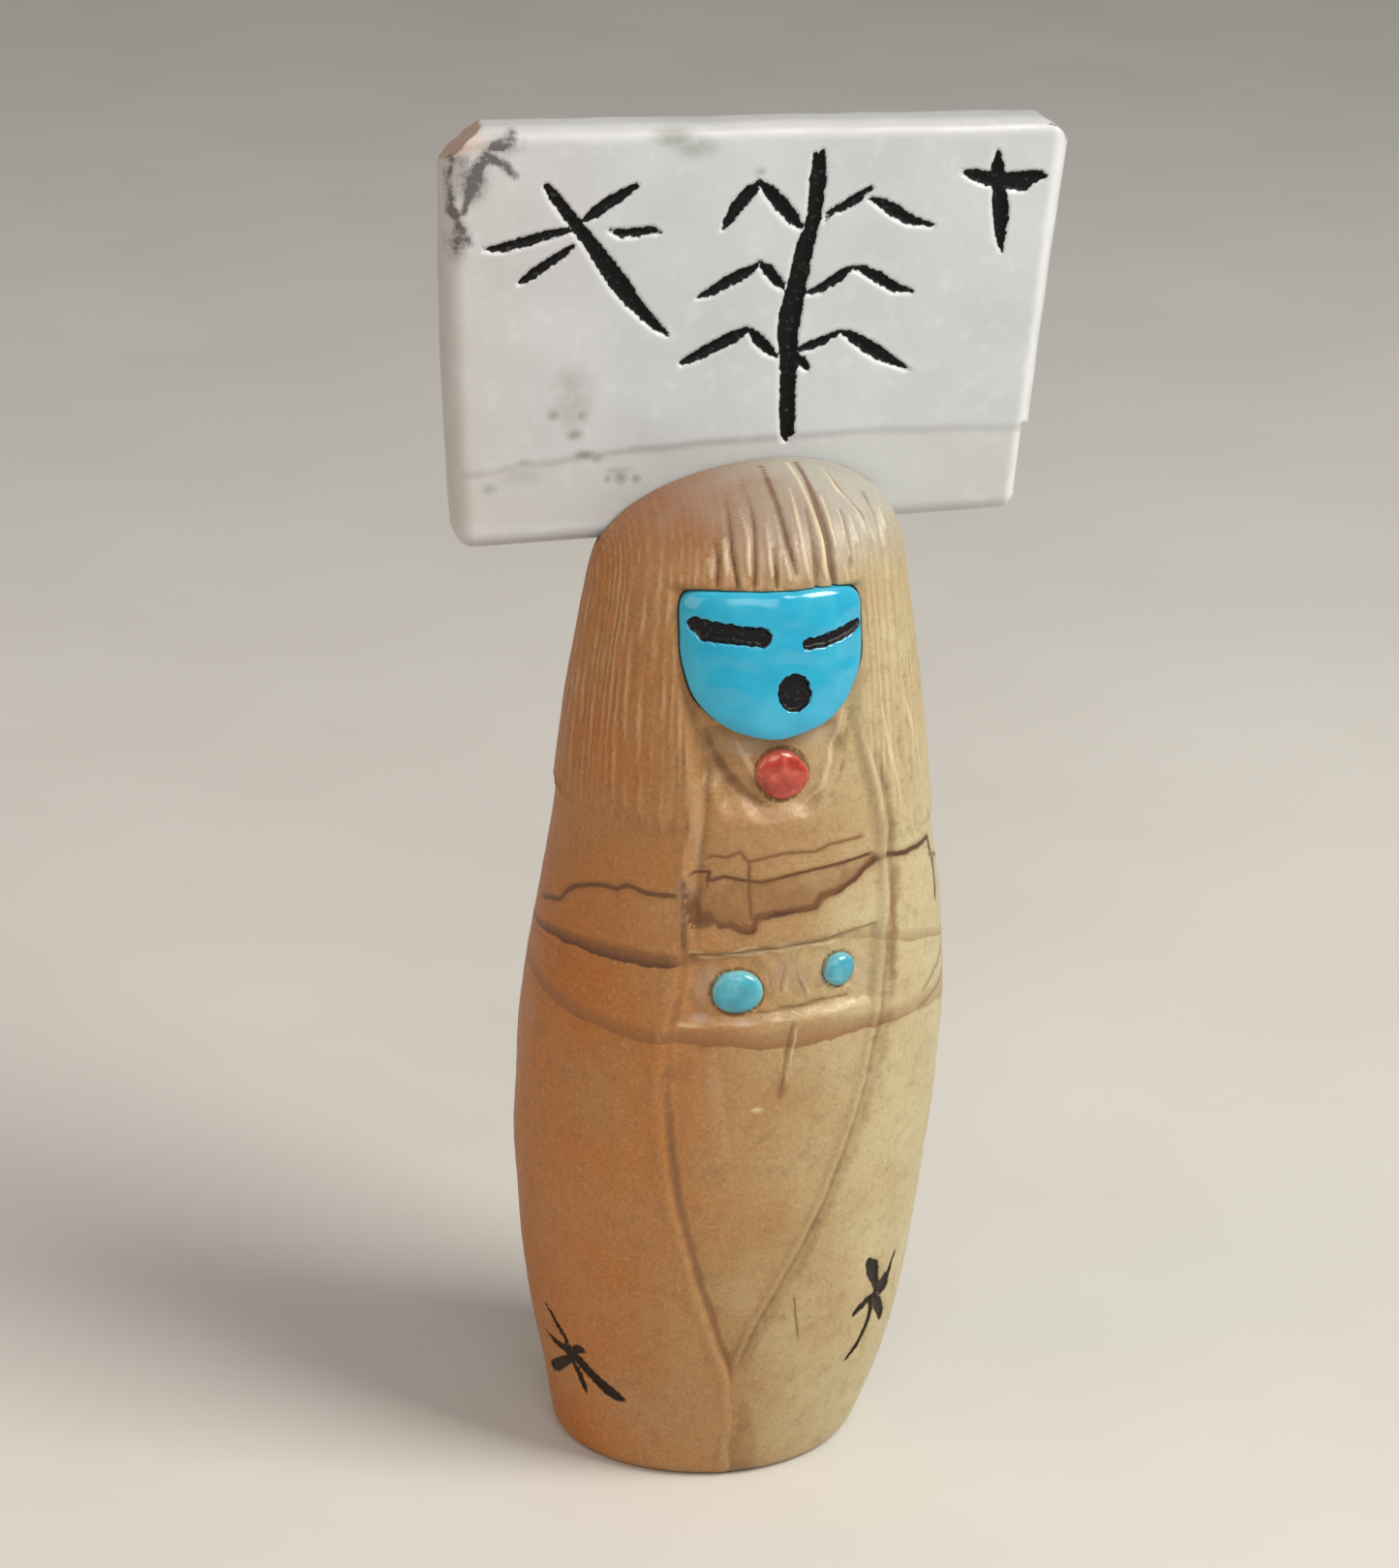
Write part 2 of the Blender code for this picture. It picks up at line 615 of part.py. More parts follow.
def make_mask(collection, parent):
    """The mask: it follows the head's curve, stands a little proud and is flat behind."""
    bm, angle, share, front = pillow(MASK_SEGMENTS, MASK_FRONT_RINGS, MASK_BACK_RINGS)
    middle_x, middle_z = mask_middle()
    place = (middle_x, float(mask_bed(middle_z)), middle_z)
    obj = new_object("turquoise_mask", bm, collection, parent, place)
    x = share * mask_rim(angle) * np.cos(angle)
    z = share * mask_rim(angle) * np.sin(angle)
    proud = MASK_RIM_PROUD + (MASK_PROUD - MASK_RIM_PROUD) * np.sqrt(1 - share**MASK_DOME_POWER)
    from_mouth = np.hypot(x - MOUTH[0] * MASK_WIDTH / 2, z - MOUTH[1] * MASK_HEIGHT)
    mouth = np.sqrt(np.clip(1 - (from_mouth / (MOUTH_DIAMETER / 2)) ** 4, 0, 1))
    engraved = np.maximum(STROKE_DEPTH * stroke_share(x, z, mask_strokes()), MOUTH_DEPTH * mouth)
    face = front_y(middle_x + x, middle_z + z) - proud + engraved
    y = np.where(front, face, mask_bed(middle_z + z)) - place[1]
    write_points(obj.data, (x, y, z))
    simplify(obj, MASK_TRIANGLES)
    finish(obj, stone("turquoise", (0.05, 0.42, 0.55), 0.25))
    return obj


def make_mask_cutter(collection, parent):
    """The mask's bed: its outline grown by the glue gap, from the bed out past the face."""
    bm, angle, share, front = pillow(MASK_BED_SEGMENTS, MASK_BACK_RINGS, MASK_BACK_RINGS)
    middle_x, middle_z = mask_middle()
    place = (middle_x, float(mask_bed(middle_z)), middle_z)
    obj = new_object("mask_bed_cutter", bm, collection, parent, place)
    rim = share * mask_rim(angle, GLUE_GAP)
    x, z = rim * np.cos(angle), rim * np.sin(angle)
    y = np.where(front, -FIGURE_DEPTH, mask_bed(middle_z + z) + GLUE_GAP) - place[1]
    write_points(obj.data, (x, y, z))
    return as_cutter(obj)


def dot_place(x, z):
    """Where a dot stands on the carved front, and how it is turned to face outwards."""
    middle, half_width, _ = figure_section(z)
    angle = np.arcsin((x - middle) / half_width)
    sunk = -float(carving(np.array([angle]), np.array([z]))[0])
    turn = facing(x, z)
    y = float(front_y(x, z))
    return (x - sunk * math.sin(turn), y + sunk * math.cos(turn), z), (math.pi / 2, 0, turn)


def make_dot(name, diameter, x, z, material, collection, parent):
    """A round dot with a domed face and a straight shank."""
    bm, angle, share, front = pillow(DOT_SEGMENTS, DOT_FRONT_RINGS, 1)
    obj = new_object(name, bm, collection, parent, *dot_place(x, z))
    rim = share * diameter / 2
    dome = DOT_RIM_PROUD + (DOT_PROUD - DOT_RIM_PROUD) * np.sqrt(1 - share**DOT_DOME_POWER)
    write_points(obj.data, (rim * np.cos(angle), rim * np.sin(angle), np.where(front, dome, -DOT_INSET)))
    finish(obj, material)
    return obj


def make_dot_cutter(name, diameter, x, z, collection, parent):
    """A drilled hole for a dot, wider and deeper by the glue gap."""
    bm = bmesh.new()
    radius = diameter / 2 + GLUE_GAP
    deep = DOT_INSET + GLUE_GAP
    bmesh.ops.create_cone(
        bm, cap_ends=True, segments=HOLE_SEGMENTS, radius1=radius, radius2=radius, depth=deep * 2
    )
    return as_cutter(new_object(name + "_hole_cutter", bm, collection, parent, *dot_place(x, z)))


def main():
    """Clears the scene and builds every piece with its bed."""
    for obj in list(bpy.data.objects):
        bpy.data.objects.remove(obj, do_unlink=True)
    parts = bpy.data.collections.new("corn_maiden_carving")
    cutters = bpy.data.collections.new("cutters")
    for collection in (parts, cutters):
        bpy.context.scene.collection.children.link(collection)
    root = bpy.data.objects.new("foot_middle", None)
    parts.objects.link(root)
    figure = make_figure(parts, root)
    cut(figure, make_saw_cutter(cutters, root))
    make_slab(parts, root)
    cut(figure, make_slot_cutter(cutters, root))
    make_mask(parts, root)
    cut(figure, make_mask_cutter(cutters, root))
    coral = stone("red_coral", (0.50, 0.09, 0.06), 0.25)
    turquoise = stone("turquoise_dot", (0.08, 0.43, 0.52), 0.3)
    dots = (
        ("coral_dot", CORAL_DIAMETER, CORAL_OFFSET, CORAL_HEIGHT, coral),
        ("belt_dot_left", LEFT_DOT_DIAMETER, LEFT_DOT_OFFSET, LEFT_DOT_HEIGHT, turquoise),
        ("belt_dot_right", RIGHT_DOT_DIAMETER, RIGHT_DOT_OFFSET, RIGHT_DOT_HEIGHT, turquoise),
    )
    for name, diameter, x, z, material in dots:
        make_dot(name, diameter, x, z, material, parts, root)
        cut(figure, make_dot_cutter(name, diameter, x, z, cutters, root))
    simplify(figure, FIGURE_TRIANGLES)


main()
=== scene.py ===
# The looks of a corn maiden carving: a figure of banded tan stone with a white slab headdress, a turquoise
# mask, a coral dot and two turquoise dots set into it. Shapes are worked out in millimetres and made in
# metres, in the CAD's frame: +Z is up, the face looks along -Y, and the foot stands at z = 0.

import logging
import math
from dataclasses import dataclass
from enum import Enum

import bpy
import numpy as np
from mathutils import Matrix, Vector


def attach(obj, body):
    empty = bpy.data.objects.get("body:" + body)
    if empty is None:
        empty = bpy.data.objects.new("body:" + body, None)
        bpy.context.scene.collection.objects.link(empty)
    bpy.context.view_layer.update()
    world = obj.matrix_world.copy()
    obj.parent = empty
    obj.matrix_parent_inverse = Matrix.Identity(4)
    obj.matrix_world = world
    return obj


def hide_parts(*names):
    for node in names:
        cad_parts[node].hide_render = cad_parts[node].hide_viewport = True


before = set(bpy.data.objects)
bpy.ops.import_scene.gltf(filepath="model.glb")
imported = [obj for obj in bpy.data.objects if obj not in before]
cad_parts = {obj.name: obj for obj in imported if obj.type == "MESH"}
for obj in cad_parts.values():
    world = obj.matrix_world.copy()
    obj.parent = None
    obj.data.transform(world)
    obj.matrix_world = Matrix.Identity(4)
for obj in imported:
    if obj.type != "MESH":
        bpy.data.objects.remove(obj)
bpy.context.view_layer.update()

LOG = logging.getLogger("corn_maiden_carving")
MM = 0.001
FAR = 9.0
PICTURE_HEIGHT = 1619
VEIN_GROUPS = 2

Tree = bpy.types.NodeTree
Socket = bpy.types.NodeSocket
Strokes = tuple[tuple[tuple[float, float, float], ...], ...]
Line = tuple[tuple[float, float], ...]
Spots = tuple[tuple[float, float, float, float, float], ...]
Layer = tuple[str | Socket, Socket]


class Slot(Enum):
    """The record's material slots."""

    FIGURE = "figure_stone"
    SLAB = "slab_stone"
    TURQUOISE = "turquoise"
    CORAL = "coral"


def linear(colour: str) -> tuple[float, float, float, float]:
    """Turns an sRGB colour written as hex into the linear values that a shader takes.

    Args:
        colour: the colour, such as "#c0a080".

    Returns:
        Linear red, green and blue, and an alpha of 1.
    """
    channels = [int(colour[i : i + 2], 16) / 255 for i in (1, 3, 5)]
    red, green, blue = [c / 12.92 if c <= 0.04045 else ((c + 0.055) / 1.055) ** 2.4 for c in channels]
    return red, green, blue, 1.0


def settled(value: object) -> object:
    """A hex colour turned to linear, and any other value as it is."""
    return linear(value) if isinstance(value, str) else value


def put(
    tree: Tree, kind: str, inputs: dict | None = None, out: int | str = 0, **settings: object
) -> Socket | bpy.types.Node:
    """Adds a node with its settings and links.

    Args:
        tree: the material's node tree.
        kind: the node's type, without its ShaderNode prefix.
        inputs: for each input's name or number, a socket to link, a value to set or a colour as hex.
            A MapRange takes 1 to 2 and gives 3 to 4, which are 0 to 1 where nothing is said.
            A Mix lays 7 over 6 where 0 says.
        out: the name or number of the output to give back.
        settings: the node's own properties, and stops for a colour ramp.

    Returns:
        The output socket, or the node itself where it has none.
    """
    node = tree.nodes.new("ShaderNode" + kind)
    stops = settings.pop("stops", None)
    for name, value in settings.items():
        setattr(node, name, value)
    if stops:
        elements = node.color_ramp.elements
        elements.remove(elements[1])
        elements[0].position, elements[0].color = stops[0][0], settled(stops[0][1])
        for place, colour in stops[1:]:
            elements.new(place).color = settled(colour)
    for key, value in (inputs or {}).items():
        if isinstance(value, Socket):
            tree.links.new(value, node.inputs[key])
        else:
            node.inputs[key].default_value = settled(value)
    return node.outputs[out] if len(node.outputs) else node


def blank_material(name: str) -> tuple[bpy.types.Material, Tree]:
    """Makes an empty node material.

    Args:
        name: the material's name.

    Returns:
        The material and its node tree.
    """
    material = bpy.data.materials.new(name)
    material.use_nodes = True
    material.node_tree.nodes.clear()
    return material, material.node_tree


def in_millimetres(tree: Tree) -> Socket:
    """The place that is shaded, in millimetres in the CAD's frame."""
    return put(tree, "Mapping", {0: put(tree, "TexCoord", out="Object"), 3: (1 / MM,) * 3})


def stored(tree: Tree, name: str) -> list[Socket]:
    """The three values that keep_field stored together under a name."""
    field = put(tree, "Attribute", out=1, attribute_name=name)
    return list(put(tree, "SeparateXYZ", {0: field}).node.outputs)


def lay_over(tree: Tree, colour: str | Socket, layers: list[Layer]) -> Socket:
    """Lays colours over one another.

    Args:
        tree: the material's node tree.
        colour: the lowest colour.
        layers: each further colour and its mask, from the lowest up.

    Returns:
        The mixed colour.
    """
    for layer, mask in layers:
        colour = put(tree, "Mix", {0: mask, 6: colour, 7: layer}, out=2, data_type="RGBA")
    return colour


def smooth_line(points: tuple, at: np.ndarray) -> np.ndarray:
    """Reads a smooth curve through (place, value) points.

    Args:
        points: the points, in rising order of place.
        at: where the curve is read.

    Returns:
        The curve's values there.
    """
    places, values = np.array(points).T
    slopes = np.gradient(values, places)
    i = np.clip(np.searchsorted(places, at) - 1, 0, len(places) - 2)
    step = places[i + 1] - places[i]
    t = np.clip((at - places[i]) / step, 0, 1)
    start = values[i] * (1 + 2 * t) + slopes[i] * step * t
    end = values[i + 1] * (3 - 2 * t) + slopes[i + 1] * step * (t - 1)
    return start * (1 - t) ** 2 + end * t**2


def rise(low: float, high: float, at: np.ndarray) -> np.ndarray:
    """0 below low, 1 above high, and a smooth rise between."""
    t = np.clip((at - low) / (high - low), 0, 1)
    return t * t * (3 - 2 * t)


def ridge(distance: np.ndarray, width: float) -> np.ndarray:
    """A rounded ridge, 1 at no distance and gone at about twice the width."""
    return np.exp(-((distance / width) ** 2))


def ripple(points: np.ndarray, size: float, seed: int, waves: int = 20) -> np.ndarray:
    """A smooth unevenness, about -1 to 1, always the same for one seed.

    Args:
        points: rows of two or three coordinates in millimetres.
        size: the length of one wave in millimetres.
        seed: which unevenness.
        waves: how many plain waves it is made of.

    Returns:
        One value for each row.
    """
    chance = np.random.default_rng(seed)
    directions = chance.normal(size=(waves, points.shape[1]))
    directions /= np.linalg.norm(directions, axis=1, keepdims=True)
    speeds = 2 * np.pi / size * chance.uniform(0.6, 1.6, (waves, 1))
    phases = chance.uniform(0, 2 * np.pi, waves)
    return np.sin(points @ (directions * speeds).T + phases).sum(axis=1) / math.sqrt(waves * 1.5)


def from_strokes(across: np.ndarray, up: np.ndarray, strokes: Strokes) -> np.ndarray:
    """How far places lie outside the nearest engraved stroke, in millimetres, and below 0 inside it.

    Args:
        across: each place's first coordinate.
        up: each place's second coordinate.
        strokes: lines of (across, up, width) points.

    Returns:
        One distance for each place, no more than FAR.
    """
    nearest = np.full(across.shape, FAR)
    for line in strokes:
        for (x0, z0, width0), (x1, z1, width1) in zip(line, line[1:]):
            run_x, run_z = x1 - x0, z1 - z0
            t = np.clip(((across - x0) * run_x + (up - z0) * run_z) / (run_x**2 + run_z**2), 0, 1)
            away = np.hypot(across - x0 - t * run_x, up - z0 - t * run_z)
            nearest = np.minimum(nearest, away - (width0 + (width1 - width0) * t) / 2)
    return nearest


def covered(
    across: np.ndarray,
    up: np.ndarray,
    strokes: Strokes,
    inner: float,
    outer: float,
    rough: np.ndarray | float = 0.0,
) -> np.ndarray:
    """How surely places lie in engraved strokes.

    Args:
        across: each place's first coordinate.
        up: each place's second coordinate.
        strokes: lines of (across, up, width) points.
        inner: how far inside a stroke's side it is sure.
        outer: how far outside that side it is over.
        rough: what is added to the distances to make the sides ragged.

    Returns:
        From 0 outside to 1 inside.
    """
    return 1 - rise(-inner, outer, from_strokes(across, up, strokes) + rough)


def spots(across: np.ndarray, up: np.ndarray, marks: Spots) -> np.ndarray:
    """Soft round marks.

    Args:
        across: each place's first coordinate.
        up: each place's second coordinate.
        marks: each mark's place across and up, half width, half height and strength.

    Returns:
        The strength of the strongest mark at each place.
    """
    total = np.zeros(across.shape)
    for x, z, wide, high, strength in marks:
        total = np.maximum(total, strength * np.exp(-(((across - x) / wide) ** 2) - ((up - z) / high) ** 2))
    return total


def globe(rings: int, segments: int) -> tuple[np.ndarray, np.ndarray, list]:
    """Lays out rings of points between two poles.

    Args:
        rings: how many steps there are from pole to pole.
        segments: how many points each ring has.

    Returns:
        Each point's ring number, its turn round the axis, and the faces.
    """
    ring = np.concatenate(([0], np.repeat(np.arange(1, rings), segments), [rings]))
    turn = np.concatenate(([0], np.tile(np.arange(segments), rings - 1), [0])) * 2 * np.pi / segments
    here = np.arange(segments)
    ahead = (here + 1) % segments
    rows = (np.arange(rings - 2) * segments + 1)[:, None]
    quads = np.stack((rows + here, rows + ahead, rows + segments + ahead, rows + segments + here), -1)
    last = len(ring) - 1
    first_cap = np.column_stack((np.zeros_like(here), ahead + 1, here + 1))
    last_cap = np.column_stack((np.full_like(here, last), last - segments + here, last - segments + ahead))
    return ring, turn, quads.reshape(-1, 4).tolist() + first_cap.tolist() + last_cap.tolist()


def box_shell(cuts: tuple[int, int, int]) -> tuple[np.ndarray, list]:
    """Lays out even squares over a box from -1 to 1.

    Args:
        cuts: how many squares there are along x, y and z.

    Returns:
        The points as rows, and the faces.
    """
    size = np.array(cuts)
    sides = []
    for axis in range(3):
        a, b = [i for i in range(3) if i != axis]
        at_a, at_b = np.meshgrid(np.arange(size[a]), np.arange(size[b]), indexing="ij")
        for end in (0, size[axis]):
            corners = np.empty((4, at_a.size, 3), int)
            for corner, (step_a, step_b) in enumerate(((0, 0), (1, 0), (1, 1), (0, 1))):
                corners[corner, :, axis] = end
                corners[corner, :, a] = at_a.ravel() + step_a
                corners[corner, :, b] = at_b.ravel() + step_b
            turned = (end == 0) != (axis == 1)
            sides.append((corners[::-1] if turned else corners).transpose(1, 0, 2))
    corners = np.concatenate(sides)
    keys = corners @ np.array([(size[1] + 1) * (size[2] + 1), size[2] + 1, 1])
    unique, faces = np.unique(keys.ravel(), return_inverse=True)
    lattice = np.column_stack(np.unravel_index(unique, size + 1))
    return lattice / size * 2 - 1, faces.reshape(-1, 4).tolist()


def make_piece(name: str, points: np.ndarray, faces: list) -> bpy.types.Object:
    """Makes a smooth mesh object from points in millimetres.

    Args:
        name: the piece's name.
        points: rows of x, y and z in millimetres, in the CAD's frame.
        faces: rows of point numbers.

    Returns:
        The object, at the origin, with its place in its mesh.
    """
    mesh = bpy.data.meshes.new(name)
    mesh.from_pydata((points * MM).tolist(), [], faces)
    mesh.update()
    mesh.shade_smooth()
    obj = bpy.data.objects.new(name, mesh)
    bpy.context.scene.collection.objects.link(obj)
    return obj


def points_of(obj: bpy.types.Object) -> np.ndarray:
    """Reads an object's mesh points.

    Args:
        obj: the object.

    Returns:
        Rows of x, y and z in millimetres.
    """
    points = np.empty(len(obj.data.vertices) * 3)
    obj.data.vertices.foreach_get("co", points)
    return points.reshape(-1, 3) / MM


def keep_field(obj: bpy.types.Object, name: str, *columns: np.ndarray) -> None:
    """Stores values for each mesh point, for the materials to read.

    Args:
        obj: the object.
        name: the name that they are read by.
        columns: one value for each point, or three.
    """
    kind, key = ("FLOAT", "value") if len(columns) == 1 else ("FLOAT_VECTOR", "vector")
    layer = obj.data.attributes.new(name, kind, "POINT")
    layer.data.foreach_set(key, np.column_stack(columns).astype(np.float32).ravel())


def cut_beds(obj: bpy.types.Object, cutters: list[bpy.types.Object]) -> None:
    """Cuts each cutter's shape out of the object and sharpens the new rims.

    Args:
        obj: the piece that is cut. Its second material goes on the cut walls.
        cutters: closed shapes, which are deleted afterwards.
    """
    for cutter in cutters:
        cutter.data.polygons.foreach_set("material_index", [1] * len(cutter.data.polygons))
        modifier = obj.modifiers.new(cutter.name, "BOOLEAN")
        modifier.operation = "DIFFERENCE"
        modifier.solver = "MANIFOLD"
        modifier.object = cutter
    bpy.context.view_layer.update()
    cut = bpy.data.meshes.new_from_object(obj.evaluated_get(bpy.context.evaluated_depsgraph_get()))
    obj.modifiers.clear()
    obj.data = cut
    for cutter in cutters:
        bpy.data.objects.remove(cutter, do_unlink=True)
    sides = np.empty(len(cut.polygons), int)
    corners = np.empty(len(cut.polygons), int)
    edges = np.empty(len(cut.loops), int)
    cut.polygons.foreach_get("material_index", sides)
    cut.polygons.foreach_get("loop_total", corners)
    cut.loops.foreach_get("edge_index", edges)
    low, high = np.full(len(cut.edges), 2), np.full(len(cut.edges), -1)
    np.minimum.at(low, edges, np.repeat(sides, corners))
    np.maximum.at(high, edges, np.repeat(sides, corners))
    sharp = cut.attributes.get("sharp_edge") or cut.attributes.new("sharp_edge", "BOOLEAN", "EDGE")
    sharp.data.foreach_set("value", low != high)


def dress(obj: bpy.types.Object, slot: Slot, node: str, *materials: bpy.types.Material) -> None:
    """Gives a piece its materials and puts it in its CAD node's place.

    Args:
        obj: the piece.
        slot: not used.
        node: the CAD node that it stands for.
        materials: its materials, in the order of its faces' numbers.
    """
    obj.data.materials.clear()
    for material in materials:
        obj.data.materials.append(material)
    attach(obj, "root")
    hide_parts(node)
    triangles = sum(len(face.vertices) - 2 for face in obj.data.polygons)
    LOG.info("%s: %d triangles, %s", obj.name, triangles, [m.name for m in materials])


@dataclass(frozen=True)
class Vein:
    """A line in the stone, along points of (across in millimetres or degrees, height).

    Lines that meet at a slant are kept in different groups, so that each keeps its own sides.
    """

    points: Line
    width: float = 0.25
    tone: float = 0.5
    strength: float = 1.0
    in_degrees: bool = False
    group: int = 0


@dataclass(frozen=True)
class BandedStone:
    """Carved and rubbed travertine: brown bands and thin iron veins in tan, with grime and painted
    shade in the grooves.

    Rubbed travertine has a soft gloss on its crests and stays dull where the cutter left it rough.
    """

    left: str = "#ac6310"
    middle: str = "#a88352"
    right: str = "#c5ba90"
    upper: str = "#7d4219"
    crown_shade_left: str = "#7a4f42"
    crown_shade_right: str = "#a1aeb4"
    shade: str = "#7a5028"
    fleck: str = "#5a3a20"
    band_dark: str = "#52290f"
    band_warm: str = "#7f4f28"
    band_dim: str = "#87663d"
    vein: str = "#502808"
    vein_pale: str = "#7d5526"
    dirt_and_shade: str = "#68431f"
    crest: str = "#e4d1ac"
    haze: str = "#b09a8a"
    ink: str = "#130a07"
    ior: float = 1.55
    roughness: float = 0.42

    def band_layer(self, tree: Tree, wobble: Socket) -> Layer:
        """Builds the bands, each with a crisp dark lower edge that fades upwards.

        Args:
            tree: the material's node tree.
            wobble: noise about 0.

        Returns:
            Their colour and its mask.
        """
        level, strength, tone = stored(tree, "band")
        level = put(tree, "Math", {0: wobble, 1: 1.1, 2: level}, operation="MULTIPLY_ADD")
        level = put(tree, "MapRange", {0: level, 1: -2.0, 2: 2.0})
        profile = ((0.2, 0.0), (0.25, 1.0), (0.42, 0.72), (0.62, 0.5), (0.82, 0.0))
        body = put(tree, "ValToRGB", {0: level}, stops=[(at, (v, v, v, 1.0)) for at, v in profile])
        body = put(tree, "Math", {0: body, 1: strength}, operation="MULTIPLY", use_clamp=True)
        tones = ((0.0, self.band_dark), (0.5, self.band_warm), (1.0, self.band_dim))
        return put(tree, "ValToRGB", {0: tone}, stops=tones), body

    def vein_layers(self, tree: Tree, wobble: Socket) -> list[Layer]:
        """Builds the veins, thin lines with ragged sides and a soft brown edge.

        Args:
            tree: the material's node tree.
            wobble: noise about 0.

        Returns:
            The soft edge and the line of each group, each with its mask.
        """
        tones = ((0.0, self.vein_pale), (1.0, self.vein))
        layers = []
        for group in range(VEIN_GROUPS):
            side, strength, tone = stored(tree, f"vein_{group}")
            side = put(tree, "Math", {0: wobble, 1: 2.0, 2: side}, operation="MULTIPLY_ADD")
            side = put(tree, "Math", {0: side}, operation="ABSOLUTE")
            halo = put(tree, "MapRange", {0: side, 1: 0.8, 2: 3.5, 3: 0.4, 4: 0.0})
            line = put(tree, "MapRange", {0: side, 1: 0.6, 2: 1.3, 3: 1.0, 4: 0.0})
            for colour, mask in ((self.shade, halo), (put(tree, "ValToRGB", {0: tone}, stops=tones), line)):
                mask = put(tree, "Math", {0: mask, 1: strength}, operation="MULTIPLY", use_clamp=True)
                layers.append((colour, mask))
        return layers

    def strand_masks(
        self, tree: Tree, wobble: Socket, fibre: Socket, hair: Socket, crown: Socket
    ) -> list[Socket]:
        """Builds the hair's strands, 0.9 mm apart, each broken along its length and faint on the crown.

        Args:
            tree: the material's node tree.
            wobble: noise about 0.
            fibre: noise drawn out along the strands.
            hair: how surely a place is hair.
            crown: how surely it is on the crown.

        Returns:
            The strands' light sides as painted highlight, their dark sides as painted shade, and their
            height.
        """
        strand = put(tree, "Attribute", out=2, attribute_name="strand")
        phase = put(tree, "Math", {0: wobble, 1: 0.8, 2: strand}, operation="MULTIPLY_ADD")
        phase = put(tree, "Math", {0: phase, 1: math.tau}, operation="MULTIPLY")
        wave = put(tree, "Math", {0: phase}, operation="SINE")
        broken = put(tree, "MapRange", {0: fibre, 1: 0.36, 2: 0.66})
        for share in (hair, put(tree, "MapRange", {0: crown, 3: 1.0, 4: 0.15})):
            broken = put(tree, "Math", {0: broken, 1: share}, operation="MULTIPLY")
        light = put(tree, "MapRange", {0: wave, 4: 0.28})
        dark = put(tree, "MapRange", {0: wave, 1: -0.2, 2: -1.0, 4: 0.2})
        sides = (light, dark, wave)
        return [put(tree, "Math", {0: side, 1: broken}, operation="MULTIPLY") for side in sides]

    def material(self) -> bpy.types.Material:
        """Builds the stone's material from its fields and noise in real millimetres.

        Returns:
            The material.
        """
        material, tree = blank_material("carved_banded_travertine")
        place = in_millimetres(tree)
        x, _, z = put(tree, "SeparateXYZ", {0: place}).node.outputs
        ink, crown = (put(tree, "Attribute", out=2, attribute_name=name) for name in ("ink", "crown"))
        carved, zones = stored(tree, "carved"), stored(tree, "zones")
        # Clouds 8 mm across, mottling of 1.2 mm and grain of 0.25 mm, the sizes seen in travertine
        cloud = put(tree, "TexNoise", {"Vector": place, "Scale": 0.12, "Detail": 3.0})
        mottle = put(tree, "TexNoise", {"Vector": place, "Scale": 0.8, "Detail": 5.0, "Roughness": 0.62})
        grain = put(tree, "TexNoise", {"Vector": place, "Scale": 3.6, "Detail": 3.0, "Roughness": 0.6})
        streaks = put(tree, "Mapping", {0: place, 3: (1.0, 1.0, 0.16)})
        fibre = put(tree, "TexNoise", {"Vector": streaks, "Scale": 1.3, "Detail": 2.0})
        wobble = put(tree, "Math", {0: mottle, 1: -0.5}, operation="ADD")
        strand_highlight, strand_shade, hair = self.strand_masks(tree, wobble, fibre, zones[0], crown)

        # The tan is painted darker and warmer on the left and paler on the right: partly the stone's own
        # colour, partly painted shade on the left and painted light on the right
        across = put(tree, "MapRange", {0: x, 1: -14.0, 2: 14.0, 4: 0.75})
        across = put(tree, "Math", {0: cloud, 1: 0.5, 2: across}, operation="MULTIPLY_ADD")
        stops = ((0.22, self.left), (0.6, self.middle), (1.0, self.right))
        crown_shade_stops = ((0.42, self.crown_shade_left), (0.75, self.crown_shade_right))
        masks = []
        for socket, amount, low, high, most in (
            (carved[0], 0.8, 0.2, 1.0, 0.8),
            (carved[1], 0.8, 0.25, 1.1, 0.6),
            (carved[2], 1.0, 0.2, 1.1, 0.7),
            (zones[2], 1.2, 0.2, 0.9, 0.62),
        ):
            mixed = put(tree, "Math", {0: wobble, 1: amount, 2: socket}, operation="MULTIPLY_ADD")
            masks.append(put(tree, "MapRange", {0: mixed, 1: low, 2: high, 4: most}))
        grooves, crests, haze, stain_and_shade = masks
        filled = put(tree, "Math", {0: wobble, 1: 0.16, 2: ink}, operation="MULTIPLY_ADD")
        filled = put(tree, "MapRange", {0: filled, 1: 0.0, 2: 0.1, 3: 0.97, 4: 0.0})
        layers = [
            (self.shade, put(tree, "MapRange", {0: mottle, 1: 0.5, 2: 0.75, 4: 0.33})),
            (self.fleck, put(tree, "MapRange", {0: grain, 1: 0.52, 2: 0.74, 4: 0.28})),
            (self.crest, put(tree, "MapRange", {0: grain, 1: 0.46, 2: 0.28, 4: 0.14})),
            (self.upper, put(tree, "MapRange", {0: z, 1: 28.0, 2: 50.0, 4: 0.12})),
            # Painted shade on the upward-facing crown, pinkish brown on the left and a cool grey on the
            # right
            (
                put(tree, "ValToRGB", {0: across}, stops=crown_shade_stops),
                put(tree, "MapRange", {0: crown, 4: 0.5}),
            ),
            self.band_layer(tree, wobble),
            *self.vein_layers(tree, wobble),
            # Painted shade between the strands and painted highlight along them
            (self.dirt_and_shade, strand_shade),
            (self.crest, strand_highlight),
            # Stains, with painted shade beside the mask and in the neck's hollow
            (self.shade, stain_and_shade),
            # Grooves painted darker, partly dirt and partly painted shade
            (self.dirt_and_shade, grooves),
            # Crests painted paler, partly wear and partly painted highlight
            (self.crest, crests),
            (self.haze, haze),
            (self.ink, filled),
        ]
        colour = lay_over(tree, put(tree, "ValToRGB", {0: across}, stops=stops), layers)

